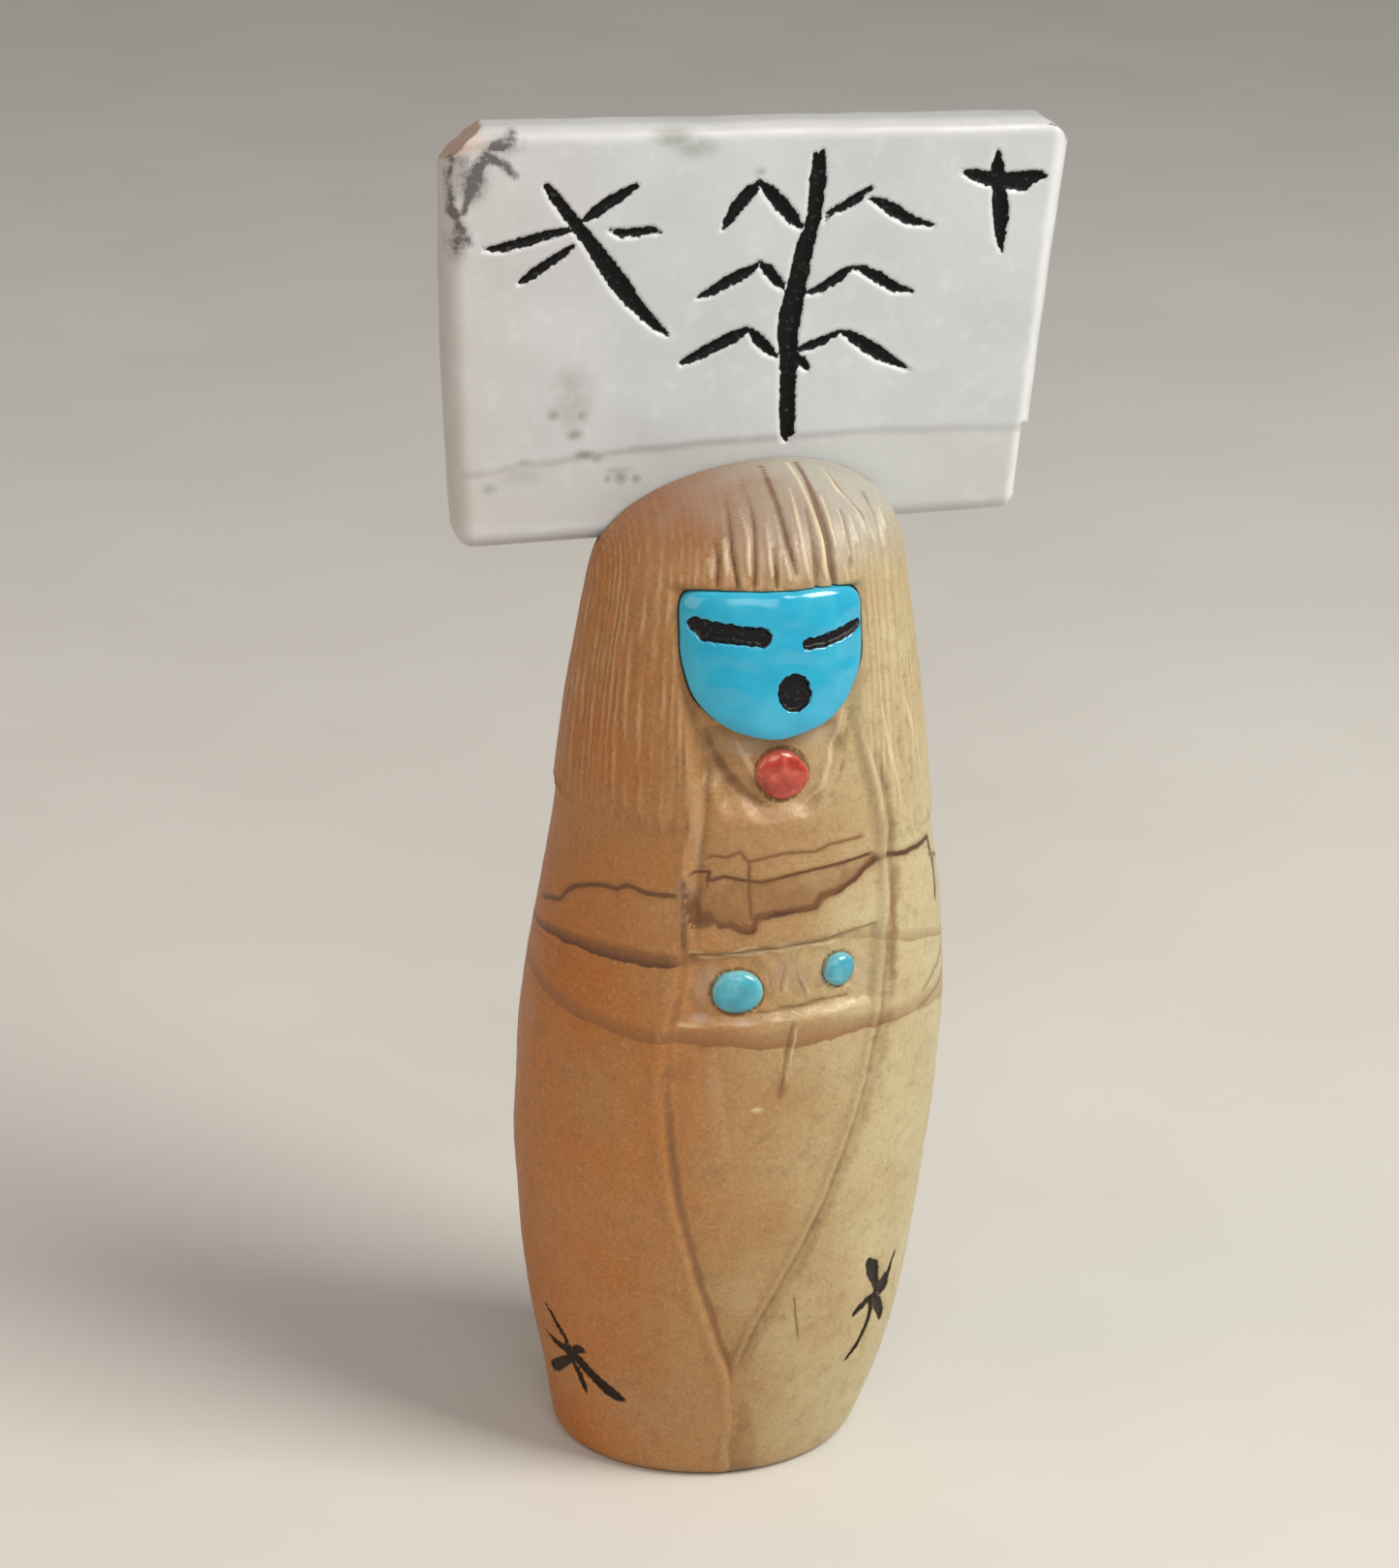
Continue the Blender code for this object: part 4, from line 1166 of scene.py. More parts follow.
    def rounded(self, cube: np.ndarray) -> np.ndarray:
        """Rounds the slab's edges, and its upper right corner more than the others.

        Args:
            cube: rows of x, y and z from -1 to 1.

        Returns:
            The same rows, rounded.
        """
        box = np.array([self.top_width / 2, self.thickness / 2, self.height / 2])
        points = cube * box
        corner = self.round_corner * rise(0.6, 1, cube[:, 0]) * rise(0.6, 1, cube[:, 2])
        limit = self.edge_radius + corner
        face = points[:, [0, 2]]
        inner = np.minimum(face, box[[0, 2]] - limit[:, None])
        away = face - inner
        reach = np.linalg.norm(away, axis=1)
        pull = np.where((away > 0).all(axis=1) & (reach > limit), limit / np.maximum(reach, 1e-9), 1)
        points[:, [0, 2]] = inner + away * pull[:, None]
        inner = np.clip(points, -box + self.edge_radius, box - self.edge_radius)
        away = points - inner
        reach = np.linalg.norm(away, axis=1)
        pull = np.where(reach > self.edge_radius, self.edge_radius / np.maximum(reach, 1e-9), 1)
        return (inner + away * pull[:, None]) / box

    def chip(self, x: np.ndarray, y: np.ndarray, z: np.ndarray) -> tuple[np.ndarray, ...]:
        """Breaks the upper left corner off along a rough slant.

        Args:
            x: the place across the slab.
            y: its depth.
            z: its height.

        Returns:
            x and z, no further than the break, and how far past it they were.
        """
        length = math.hypot(self.chip_width, self.chip_height)
        normal = np.array([-self.chip_height, self.chip_width]) / length
        corner = np.array([-self.top_width / 2 + self.chip_width, self.height])
        rough = 0.06 * ripple(np.column_stack((x, y, z)), 1.6, 23) + 0.1 * y
        past = np.clip((np.column_stack((x, z)) - corner) @ normal + rough, 0, None)
        return x - past * normal[0], z - past * normal[1], past

    def keep_looks(
        self,
        obj: bpy.types.Object,
        x: np.ndarray,
        z: np.ndarray,
        front: np.ndarray,
        below: np.ndarray,
        past: np.ndarray,
    ) -> None:
        """Stores where the slab is engraved, bruised, stained and chipped, and where highlight and shade
        are painted on its edges and engraving.

        Args:
            obj: the slab.
            x: each point's place across the slab.
            z: its height above the slab's foot.
            front: how surely it is on the front.
            below: how surely it is on the stepped foot.
            past: how far past the chipped corner it was.
        """
        flat = np.column_stack((x, z))
        edge = from_strokes(x, z, self.engraving) + self.ragged * ripple(flat, 0.7, 24)
        keep_field(obj, "ink", np.where(front > 0.5, edge, FAR))
        bruised = covered(x, z, self.bruise_lines, 0.2, 0.4, 0.1 * ripple(flat, 1.5, 27))
        bruised = np.maximum(bruised, spots(x, z, self.bruises)) * front
        chipped = np.maximum(np.clip(past * 4, 0, 1), spots(x, z, self.chip_stain) * front)
        keep_field(obj, "marks", bruised, spots(x, z, self.green_spots) * front, chipped)
        half = (self.foot_width + (self.top_width - self.foot_width) * z / self.height) / 2
        to_edge = half - x + self.lean * z / self.height
        # A pale line painted down the right edge is a painted highlight on the rounded edge that faces the
        # light
        worn = 0.8 * ridge(to_edge - 0.9 + 0.1 * ripple(flat, 2.0, 26), 0.5) * front
        # The pink-tan tint is painted: warm painted shade strongest at the left and down the left edge, and
        # painted shade along the top edge
        left = 1 - rise(0.5, 2.6, x + half)
        warm = np.maximum(0.38 * (1 - rise(-half, -half / 4, x)), 0.55 * left * (1 - rise(23, 27, z)))
        warm = np.maximum(warm, 0.18 * rise(self.height - 1.6, self.height - 0.5, z))
        # A pale rim painted along the lower left side of each engraved stroke is a painted highlight on the
        # wall that faces the light
        bevel = covered(x + self.bevel_shift[0], z + self.bevel_shift[1], self.engraving, 0.0, 0.22)
        keep_field(obj, "edges", worn, warm, bevel * front)
        keep_field(obj, "strip", below * front * rise(-0.3, 0.1, z - self.foot_rise))

    def build(self) -> bpy.types.Object:
        """Builds the slab: worn edges, a stepped foot, a chipped corner and ragged engraving.

        Returns:
            The dressed piece.
        """
        cube, faces = box_shell(self.squares)
        x, y, z = self.form(self.rounded(cube)).T
        front = rise(0, self.thickness / 4, -y)
        step = self.step_height - self.step_bow * (x / (self.top_width / 2) - self.step_peak) ** 2
        below = 1 - rise(-0.4, 0.4, z - step + 0.05 * ripple(np.column_stack((x, z)), 5.0, 21))
        y = y + below * self.step_depth * front
        x = x - below * self.step_notch * rise(0, self.top_width / 4, x)
        # The worn outline wanders by a few hundredths of a millimetre
        wander = self.edge_wander * ripple(np.column_stack((x, y, z)), 6.0, 22)
        x = x + wander * rise(0.8, 1, np.abs(x) / (self.top_width / 2))
        z = z + wander * rise(0.8, 1, z / self.height)
        x, z, past = self.chip(x, y, z)
        # The cut is a little wider than the black in it, on the lower left
        cut = covered(x + self.cut_shift[0], z + self.cut_shift[1], self.engraving, 0.3, 0.2)
        y = y + self.groove_depth * cut * front
        y = y + self.face_waves * ripple(np.column_stack((x, y, z)), 7.0, 25)
        obj = make_piece("engraved_slab", np.column_stack((x, y, z)) + np.array(self.place), faces)
        self.keep_looks(obj, x, z, front, below, past)
        dress(obj, Slot.SLAB, "slab_headdress", Howlite().material())
        return obj

    def slot_cutter(self) -> bpy.types.Object:
        """Builds the slot across the crown: the slab's plain form, grown by the glue gap."""
        cube, faces = box_shell((8, 2, 8))
        return make_piece("slab_slot", self.form(cube, self.gap) + np.array(self.place), faces)


@dataclass
class Figure:
    """The stone figure: its form, its carving and the lines in its stone. Sizes are in millimetres.

    Strokes, spots and tints are placed by x and height as seen from the front, and the bands and the
    small dragonflies by degrees round the figure and height. The robe's lines give shares of the half
    width at shares of the height, as do the ends of the hair and the joint at the foot.
    """

    form: FigureForm
    mask: Mask
    segments: int = 336
    foot_rings: int = 4
    flank_rings: int = 236
    dome_rings: int = 44
    front_crowding: float = 0.42
    chest_crowding: float = 0.22
    crowded_share: float = 0.64
    crown_fade: float = 0.3
    hair_end_left: float = 0.690
    hair_end_right: float = 0.664
    hair_end_blend: float = 0.006
    fringe_foot: float = 0.9145
    fringe_blend: float = 0.003
    hair_step: float = 0.3
    strands: int = 54
    strand_groove: float = 0.1
    fine_strands: int = 92
    panel_depth: float = 0.5
    edge_width: float = 0.8
    edge_height: float = 0.2
    mask_foot: float = 59.0
    neck_depth: float = 0.75
    neck_foot: float = 53.0
    belt_height: float = 41.03
    belt_tilt: float = 0.074
    belt_width: float = 5.23
    belt_flare: float = 0.031
    belt_depth: float = 0.45
    chisel_depth: float = 0.06
    crease_depth: float = 0.06
    cut_depth: float = 0.2
    fold_depth: float = 0.12
    line_depth: float = 0.1
    gouge_depth: float = 0.4
    lip_height: float = 0.16
    ink_depth: float = 0.2
    skin_waves: float = 0.06
    skin_grain: float = 0.012
    sash_point: float = 27.3
    sash_roots: tuple[float, float] = (-4.2, 2.0)
    sash_tip: float = -2.5
    degree_length: float = 0.215
    joint: float = 0.114
    robe_left: Line = (
        (0.0, -0.045), (0.026, -0.055), (0.08, -0.073), (0.114, -0.092), (0.2, -0.235), (0.25, -0.313),
        (0.31, -0.388), (0.37, -0.441), (0.47, -0.468), (0.56, -0.404), (0.64, -0.39), (0.715, -0.35),
        (0.79, -0.38), (0.92, -0.43),
    )
    robe_right: Line = (
        (0.0, -0.045), (0.026, -0.055), (0.08, -0.073), (0.114, -0.092), (0.158, -0.045), (0.21, 0.058),
        (0.25, 0.156), (0.36, 0.382), (0.42, 0.469), (0.505, 0.556), (0.56, 0.579), (0.65, 0.574),
        (0.7, 0.534), (0.79, 0.431), (0.92, 0.44),
    )
    fringe_gouges: Strokes = (
        ((3.65, 76.74, 0.14), (3.69, 76.19, 0.34), (3.81, 75.09, 0.48), (3.93, 73.73, 0.55),
         (4.12, 72.21, 0.5), (4.25, 70.62, 0.48), (4.52, 69.4, 0.34)),
        ((1.29, 76.25, 0.21), (1.06, 75.05, 0.48), (1.07, 73.67, 0.48), (1.2, 72.16, 0.41),
         (1.6, 70.4, 0.27)),
        ((-0.64, 75.08, 0.14), (-0.77, 73.71, 0.27), (-1.16, 71.59, 0.27), (-1.35, 69.6, 0.27)),
        ((-2.07, 74.52, 0.14), (-2.48, 73.1, 0.27), (-2.67, 71.56, 0.34), (-2.47, 69.6, 0.27)),
        ((-3.62, 72.43, 0.14), (-3.63, 71.19, 0.27), (-3.81, 69.6, 0.27)),
        ((0.14, 71.89, 0.14), (0.19, 69.6, 0.27)),
        ((2.95, 74.11, 0.14), (3.01, 72.33, 0.27), (3.06, 70.76, 0.34), (3.1, 69.4, 0.27)),
        ((5.54, 73.78, 0.14), (5.68, 71.98, 0.27), (5.83, 70.4, 0.21)),
        ((5.52, 75.58, 0.14), (6.18, 74.47, 0.21), (7.04, 73.48, 0.21), (7.65, 71.87, 0.14)),
        ((7.83, 74.22, 0.14), (8.34, 72.85, 0.21), (8.53, 71.31, 0.14)),
    )
    fringe_crests: Strokes = (
        ((3.33, 76.73, 0.14), (3.01, 76.13, 0.41), (3.22, 75.41, 0.27), (3.39, 74.07, 0.27),
         (3.6, 72.27, 0.41), (3.64, 70.7, 0.38), (3.84, 69.83, 0.2)),
        ((2.34, 74.97, 0.14), (2.2, 73.61, 0.27), (2.19, 72.1, 0.27), (2.39, 70.5, 0.27),
         (2.58, 69.97, 0.18)),
        ((-1.33, 74.0, 0.14), (-1.36, 72.52, 0.27), (-1.57, 71.28, 0.3), (-1.55, 70.32, 0.18)),
        ((0.0, 73.42, 0.14), (-0.17, 71.28, 0.27), (-0.07, 70.31, 0.2)),
        ((0.86, 71.36, 0.21), (1.16, 70.07, 0.27)),
        ((-2.92, 72.47, 0.18), (-3.06, 71.22, 0.27), (-3.04, 70.34, 0.2)),
        ((-4.13, 71.15, 0.18), (-4.05, 70.21, 0.22)),
        ((0.24, 76.36, 0.14), (-0.02, 75.84, 0.21)),
        ((4.35, 74.5, 0.21), (4.45, 73.08, 0.27), (4.63, 71.84, 0.21)),
        ((5.22, 73.83, 0.14), (5.51, 72.62, 0.27), (5.76, 71.03, 0.21)),
        ((5.44, 75.73, 0.14), (5.69, 74.82, 0.27), (6.48, 74.04, 0.21), (7.57, 71.88, 0.14)),
        ((5.97, 73.42, 0.14), (6.41, 71.84, 0.21)),
        ((5.25, 70.48, 0.14), (5.46, 69.46, 0.21)),
        ((8.61, 73.31, 0.21), (8.9, 72.09, 0.21)),
    )
    panel_cuts: Strokes = (
        ((1.75, 38.0, 0.12), (1.31, 35.84, 0.35), (1.05, 32.94, 0.12)),
        ((1.43, 30.63, 0.06), (-0.16, 29.16, 0.1), (-2.19, 27.46, 0.06)),
    )
    # The folds are cut in, and painted dark along them as painted shade
    chest_folds: Strokes = (
        ((-4.9, 59.2, 0.2), (-4.27, 57.43, 0.6), (-3.43, 56.1, 0.85), (-2.3, 54.95, 0.9),
         (-0.94, 54.04, 0.65)),
        ((-0.94, 54.04, 0.6), (0.3, 53.6, 0.2)),
        ((6.0, 59.6, 0.1), (5.9, 57.6, 0.3), (5.4, 55.6, 0.3), (4.6, 54.2, 0.1)),
    )
    belt_lines: Strokes = (
        ((-0.85, 38.88, 0.1), (0.9, 39.0, 0.28), (2.63, 39.15, 0.32), (4.84, 39.37, 0.32),
         (6.56, 39.35, 0.12)),
        ((1.19, 42.0, 0.08), (1.0, 41.2, 0.18), (0.85, 40.2, 0.08)),
        ((2.07, 41.8, 0.08), (2.5, 40.8, 0.2), (2.99, 39.7, 0.08)),
        ((-0.07, 41.7, 0.06), (0.1, 41.0, 0.16), (0.22, 40.1, 0.08)),
    )
    scratches: Strokes = (
        ((2.1, 37.8, 0.08), (1.75, 35.9, 0.14), (1.45, 33.6, 0.06)),
        ((5.59, 60.46, 0.1), (5.29, 58.66, 0.25), (4.85, 56.66, 0.25), (4.11, 55.03, 0.25),
         (3.09, 53.97, 0.1)),
        ((6.56, 59.65, 0.1), (7.07, 57.62, 0.22), (7.76, 55.38, 0.22), (8.43, 52.72, 0.16)),
        ((-2.7, 58.4, 0.1), (-2.0, 57.3, 0.5), (-1.0, 55.8, 0.5), (-0.4, 55.0, 0.2)),
        ((8.25, 60.28, 0.1), (8.79, 57.86, 0.25), (9.33, 55.63, 0.25), (10.16, 52.65, 0.1)),
        ((10.54, 59.99, 0.1), (11.15, 58.03, 0.25), (11.69, 56.07, 0.1)),
        ((-5.6, 42.75, 0.06), (-2.2, 43.1, 0.24), (0.4, 43.35, 0.2), (2.6, 43.5, 0.24),
         (6.4, 43.5, 0.06)),
        ((1.55, 41.9, 0.04), (1.3, 40.3, 0.14)),
        ((2.4, 41.6, 0.04), (3.3, 39.9, 0.12)),
        ((4.0, 38.45, 0.08), (5.56, 38.58, 0.3), (6.97, 38.88, 0.12)),
        ((4.6, 40.3, 0.06), (5.6, 39.9, 0.16), (6.8, 40.1, 0.06)),
    )
    small_dragonflies: Strokes = (
        ((-76.0, 12.11, 0.21), (-72.1, 11.59, 0.41), (-68.9, 10.81, 0.55), (-65.8, 10.17, 0.41),
         (-63.5, 9.54, 0.14)),
        ((-78.9, 9.51, 0.17), (-75.5, 9.28, 0.41), (-71.9, 9.06, 0.62), (-66.6, 9.07, 0.55),
         (-63.1, 8.97, 0.55)),
        ((-66.1, 9.46, 0.27), (-61.9, 9.08, 0.62), (-58.7, 8.5, 0.82), (-55.7, 7.97, 0.82),
         (-52.0, 7.39, 0.89), (-48.3, 6.86, 1.03), (-45.3, 6.61, 0.82), (-41.7, 6.3, 0.17)),
        ((-61.4, 9.56, 0.48), (-59.0, 9.78, 0.62), (-56.4, 9.75, 0.27)),
        ((-62.8, 8.74, 0.34), (-68.2, 7.87, 0.75), (-75.3, 6.82, 0.96), (-79.9, 6.25, 0.75)),
        ((-63.0, 8.11, 0.34), (-60.8, 7.43, 0.55), (-59.5, 6.5, 0.55), (-58.6, 5.95, 0.27)),
        ((37.4, 17.18, 0.55), (39.8, 16.46, 1.23), (41.5, 15.65, 1.03), (43.8, 14.51, 0.34)),
        ((47.9, 14.84, 0.75), (49.1, 14.06, 0.95), (47.1, 13.76, 0.5)),
        ((42.6, 14.9, 0.6), (44.6, 14.5, 0.7), (46.6, 14.1, 0.7)),
        ((52.7, 16.63, 0.2), (51.0, 15.83, 0.34), (50.2, 15.01, 0.4)),
        ((43.1, 14.58, 0.27), (43.7, 13.77, 0.27)),
        ((43.2, 13.74, 0.35), (39.3, 13.61, 0.6), (36.1, 13.24, 0.6), (33.8, 12.93, 0.3)),
        ((43.2, 13.74, 0.35), (46.5, 12.73, 0.85), (49.9, 11.7, 0.8), (50.7, 11.02, 0.3)),
        ((41.3, 13.59, 0.3), (42.7, 12.35, 0.46), (41.7, 11.33, 0.42), (40.0, 10.47, 0.38),
         (38.8, 9.89, 0.45), (36.6, 9.4, 0.36), (34.4, 8.9, 0.24)),
    )
    # Mostly stains in the stone; the spots at (-5.2, 61.2), (-3.3, 59.3) and (4.6, 59.9) beside the mask's
    # lower edge and at (-3.6, 56.6) in the neck's hollow are painted shade
    stains_and_shadows: Spots = (
        (-5.9, 44.5, 0.35, 2.6, 0.9),
        (-2.9, 55.3, 0.5, 0.9, 0.7),
        (9.6, 42.5, 0.45, 4.6, 0.9),
        (10.0, 47.6, 0.5, 1.2, 0.8),
        (-4.9, 36.5, 1.2, 0.8, 0.5),
        (0.95, 33.0, 0.35, 1.2, 0.9),
        (-5.7, 53.5, 0.45, 3.0, 0.5),
        (-5.2, 61.2, 0.6, 1.7, 0.6),
        (-3.3, 59.3, 1.0, 0.6, 0.6),
        (4.6, 59.9, 0.8, 0.6, 0.45),
        (-3.6, 56.6, 0.8, 1.2, 0.7),
        (2.2, 41.3, 3.5, 1.6, 0.42),
    )
    hazes: Spots = (
        (-1.6, 57.9, 1.8, 0.8, 0.8),
        (3.4, 58.6, 1.6, 1.0, 0.7),
        (0.8, 53.5, 2.0, 0.5, 0.3),
        (3.2, 53.9, 1.2, 0.6, 0.25),
        (-5.0, 52.5, 0.35, 3.4, 0.7),
        (-5.5, 47.9, 0.4, 1.4, 0.5),
        (-4.0, 40.9, 2.0, 1.7, 0.65),
        (-4.8, 38.4, 1.1, 0.35, 0.9),
        (-1.8, 38.2, 0.9, 0.3, 0.6),
        (1.4, 41.5, 2.6, 1.5, 0.5),
        (7.2, 40.9, 1.2, 1.6, 0.65),
        (4.0, 40.9, 0.35, 0.35, 1.3),
        (-6.3, 47.0, 0.4, 3.0, 0.4),
        (-3.6, 33.5, 1.0, 2.4, 0.5),
    )
    nicks: Spots = (
        (-0.7, 31.5, 0.5, 0.2, 1.3),
        (5.4, 14.0, 0.35, 0.2, 1.2),
        (-1.6, 57.4, 0.6, 0.3, 0.9),
    )
    tint_foot: Line = (
        (-5.97, 47.17), (-5.39, 45.52), (-3.81, 45.4), (-1.36, 45.05), (-0.1, 46.09), (3.41, 46.43),
        (5.03, 47.37), (8.76, 49.39),
    )
    tint_top: Line = ((-6.0, 48.7), (-4.5, 49.0), (-1.6, 48.6), (2.0, 49.0), (4.3, 49.25), (8.6, 49.5))
    seam_foot: Line = ((-1.0, -0.6), (0.4, -0.6), (1.9, -0.6))
    seam_top: Line = ((-1.1, 8.8), (-0.4, 7.6), (0.21, 6.33), (1.04, 3.9), (1.7, 1.5))
    dark_band: tuple[Line, Line] = (
        ((-180, 41.6), (-91.3, 41.5), (-73.8, 41.9), (-61.8, 42.0), (-53.5, 42.0), (-43.3, 42.05),
         (-35.1, 42.1), (-28.3, 42.4), (-16.8, 42.7), (-3.7, 43.4), (9.3, 43.7), (21.7, 43.4),
         (32.9, 43.1), (41.9, 42.4), (54.1, 41.8), (71.5, 40.5), (120, 40.9), (180, 41.6)),
        ((-180, 42.8), (-93.5, 41.9), (-71.7, 42.8), (-57.9, 43.0), (-45, 43.2), (-35.6, 43.2),
         (-28.6, 43.3), (-16.8, 43.4), (-3.7, 44.1), (9.3, 44.4), (32.9, 43.8), (54.1, 42.5),
         (71.5, 41.2), (120, 42.0), (180, 42.8)),
    )
    soft_band: tuple[Line, Line] = (
        ((-180, 37.4), (-89.3, 38.1), (-77.8, 37.8), (-62.9, 37.1), (-50.3, 36.85), (-38.9, 36.5),
         (-30.6, 36.6), (-13.6, 36.5), (-2.5, 36.3), (10.7, 36.4), (28.7, 36.9), (45.4, 36.8),
         (70.5, 35.9), (120, 36.4), (180, 37.4)),
        ((-180, 38.8), (-89.3, 39.0), (-62.9, 38.2), (-38.9, 37.6), (-29.9, 37.5), (-18.7, 37.8),
         (-6.8, 37.6), (13.9, 38.1), (33, 37.9), (48.6, 38.0), (68.7, 38.2), (120, 38.2), (180, 38.8)),
    )
    veins: tuple[Vein, ...] = (
        Vein(
            ((-92, 43.6), (-82, 44.2), (-74.9, 44.7), (-71.9, 45.6), (-68.6, 46.15), (-62.4, 46.7),
             (-57.3, 47.0), (-51.4, 47.1), (-47.2, 47.5), (-42, 47.3), (-36.2, 47.3), (-30, 47.4)),
            width=0.36, tone=0.8, strength=0.85, in_degrees=True,
        ),
        Vein(
            ((-4.82, 49.98), (-4.24, 50.35), (-3.24, 50.28), (-2.23, 50.64), (-1.64, 49.95),
             (-0.14, 50.29), (1.14, 50.5), (3.36, 50.43), (4.5, 50.81), (7.67, 50.93)),
            width=0.24, tone=0.35, strength=0.75,
        ),
        Vein(
            ((-5.94, 48.73), (-5.4, 49.06), (-4.42, 49.15), (-4.62, 48.39), (-3.42, 48.84),
             (-1.59, 48.57), (-0.76, 48.48), (2.04, 49.0), (4.3, 49.25), (6.7, 49.38), (8.49, 49.51)),
            width=0.26, tone=0.9, strength=0.95,
        ),
        Vein(
            ((8.6, 49.4), (9.03, 49.2), (10.76, 48.85), (12.43, 48.78), (13.29, 48.74), (14.04, 46.02),
             (14.3, 43.5)),
            width=0.42, tone=1.0, strength=1.0,
        ),
        Vein(
            ((-1.62, 50.1), (-1.6, 48.6), (-1.5, 46.5), (-1.4, 45.5)),
            width=0.22, tone=0.7, strength=0.8, group=1,
        ),
        Vein(
            ((-5.97, 47.17), (-5.39, 45.52), (-4.6, 46.13), (-3.81, 45.32), (-3.0, 45.42),
             (-2.18, 45.05), (-1.36, 45.05), (-1.11, 45.9), (-0.1, 46.09), (2.07, 46.37),
             (3.41, 46.43), (3.91, 47.23), (5.03, 47.37), (6.71, 48.02), (8.23, 48.94), (8.76, 49.39)),
            width=0.52, tone=0.95, strength=1.0, group=1,
        ),
        Vein(((-6.0, 48.9), (-6.05, 46.5), (-6.1, 43.2)), width=0.3, tone=1.0, strength=0.8, group=1),
        Vein(
            ((-6.0, 47.9), (-5.6, 47.0), (-5.3, 46.2), (-5.0, 45.7), (-4.0, 45.3)),
            width=0.8, tone=1.0, strength=1.0, group=1,
        ),
        Vein(
            ((48, 37.9), (58, 39.0), (72, 40.2), (90, 41.5)),
            width=0.3, tone=0.2, strength=0.5, in_degrees=True,
        ),
        Vein(
            ((46, 36.9), (60, 37.4), (74, 38.2), (95, 39.2)),
            width=0.3, tone=0.2, strength=0.5, in_degrees=True,
        ),
        Vein(((2.74, 16.45), (3.0, 14.5), (3.48, 12.05)), width=0.12, tone=0.6, strength=0.7),
        Vein(
            ((60, 47.6), (80, 46.0), (105, 45.2), (140, 46.5), (170, 46.0)),
            width=0.3, tone=0.7, strength=0.7, in_degrees=True,
        ),
    )

    def hair(self, angle: np.ndarray, z: np.ndarray, inside: np.ndarray) -> tuple[np.ndarray, ...]:
        """The hair: a raised mass with strands over the crown, the sides and the back.

        Args:
            angle: the angle round the figure.
            z: the height.
            inside: how surely a place is on the front panel, from 0 to 1.

        Returns:
            How far it stands out, how surely a place is hair, how deep in a groove it is, and which fine
            strand runs there, as a number that grows by 1 from each to the next.
        """
        share = z / self.form.height
        right = rise(-0.3, 0.3, np.sin(angle))
        end = self.hair_end_left + (self.hair_end_right - self.hair_end_left) * right
        below = 1 - rise(self.fringe_foot - self.fringe_blend, self.fringe_foot + self.fringe_blend, share)
        up = np.clip((share - self.form.dome_start) / (1 - self.form.dome_start), 0, 1)
        across = np.sqrt(1 - up**self.form.dome_power) * np.sin(angle) + self.form.dome_lean * up**2
        across = np.arcsin(np.clip(across, -1, 1))
        across = np.where(np.cos(angle) < 0, np.pi - across, across)
        sway = 0.2 * np.sin(12 * share) + 0.25 * np.sin(7 * share + 3 * np.sin(angle))
        strand = across * self.strands / (2 * np.pi) + sway
        number = np.round(strand)
        groove = self.strand_groove * ridge(strand - number, 0.22) * (0.6 + 0.4 * np.sin(7.3 * number))
        # The crown's left is rubbed nearly smooth
        groove = groove * (1 - 0.7 * rise(0, 0.4, up) * (1 - rise(-0.2, 0.25, np.sin(angle))))
        fine = np.abs(across) * self.fine_strands / (2 * np.pi) + 2 * sway
        fine = fine + 0.5 * np.sin(11 * np.abs(across))
        ragged = end + 0.004 * np.sin(across * self.strands * 1.3)
        ragged = ragged + 0.003 * np.sin(across * self.strands * 2.9)
        cover = rise(ragged - self.hair_end_blend, ragged + self.hair_end_blend, share)
        cover = cover * (1 - below * inside)
        # The fine strands fade towards their ends
        stranded = cover * (0.3 + 0.7 * rise(ragged, ragged + 0.07, share))
        return cover * (self.hair_step - groove), stranded, cover * groove / self.strand_groove, fine

    def robe_edge(
        self, to_left: np.ndarray, to_right: np.ndarray, z: np.ndarray
    ) -> tuple[np.ndarray, np.ndarray, np.ndarray]:
        """The robe's two front edges, unlike each other, and the sunk panel between them.

        Args:
            to_left: how far inside the left edge a place lies.
            to_right: how far inside the right edge a place lies.
            z: the height.

        Returns:
            How far the surface stands out, how deep in a groove it is, and how much a crest it is.
        """
        inward = np.minimum(to_left, to_right)
        above_joint = rise(self.joint * self.form.height, self.joint * self.form.height + 3, z)
        right = rise(-0.4, 0.4, to_left - to_right)
        chest = rise(self.belt_height + 2, self.belt_height + 5, z)
        # Besides shaping the relief, these masks are painted: the crests pale, a painted highlight on the
        # walls that face the light, and the grooves dark, painted shade, with a wide band of painted shade
        # right of the right edge
        left_crest = 0.42 * ridge(to_left + 0.55, 0.42)
        left_crest += chest * (0.6 * ridge(to_left - 0.1, 0.34) - left_crest)
        left_groove = (1.15 - 0.5 * rise(26, 36, z)) * ridge(to_left - 0.24, 0.34)
        left_groove += chest * (0.5 * ridge(to_left - 0.9, 0.25) - left_groove)
        low_crest = 0.6 * ridge(to_right - 0.35, 0.2)
        low_groove = 0.5 * ridge(to_right + 0.05, 0.22) + 0.48 * ridge(to_right + 0.65, 0.7)
        high_crest = 0.8 * ridge(to_right - 0.1, 0.24)
        high_groove = 0.75 * ridge(to_right + 0.55, 0.4)
        right_crest = (low_crest + (high_crest - low_crest) * chest) * above_joint
        right_groove = (low_groove + (high_groove - low_groove) * chest) * above_joint
        left_groove = left_groove * (0.8 + 0.2 * above_joint)
        # The edges fade out beside the mask
        fade = 1 - 0.85 * rise(self.mask_foot - 3.5, self.mask_foot, z)
        crest = (left_crest * (1 - right) + right_crest * right) * fade
        groove = (left_groove * (1 - right) + right_groove * right) * fade
        relief = self.edge_height * (crest - groove) - self.panel_depth * rise(0, self.edge_width, inward)
        return relief, groove, crest

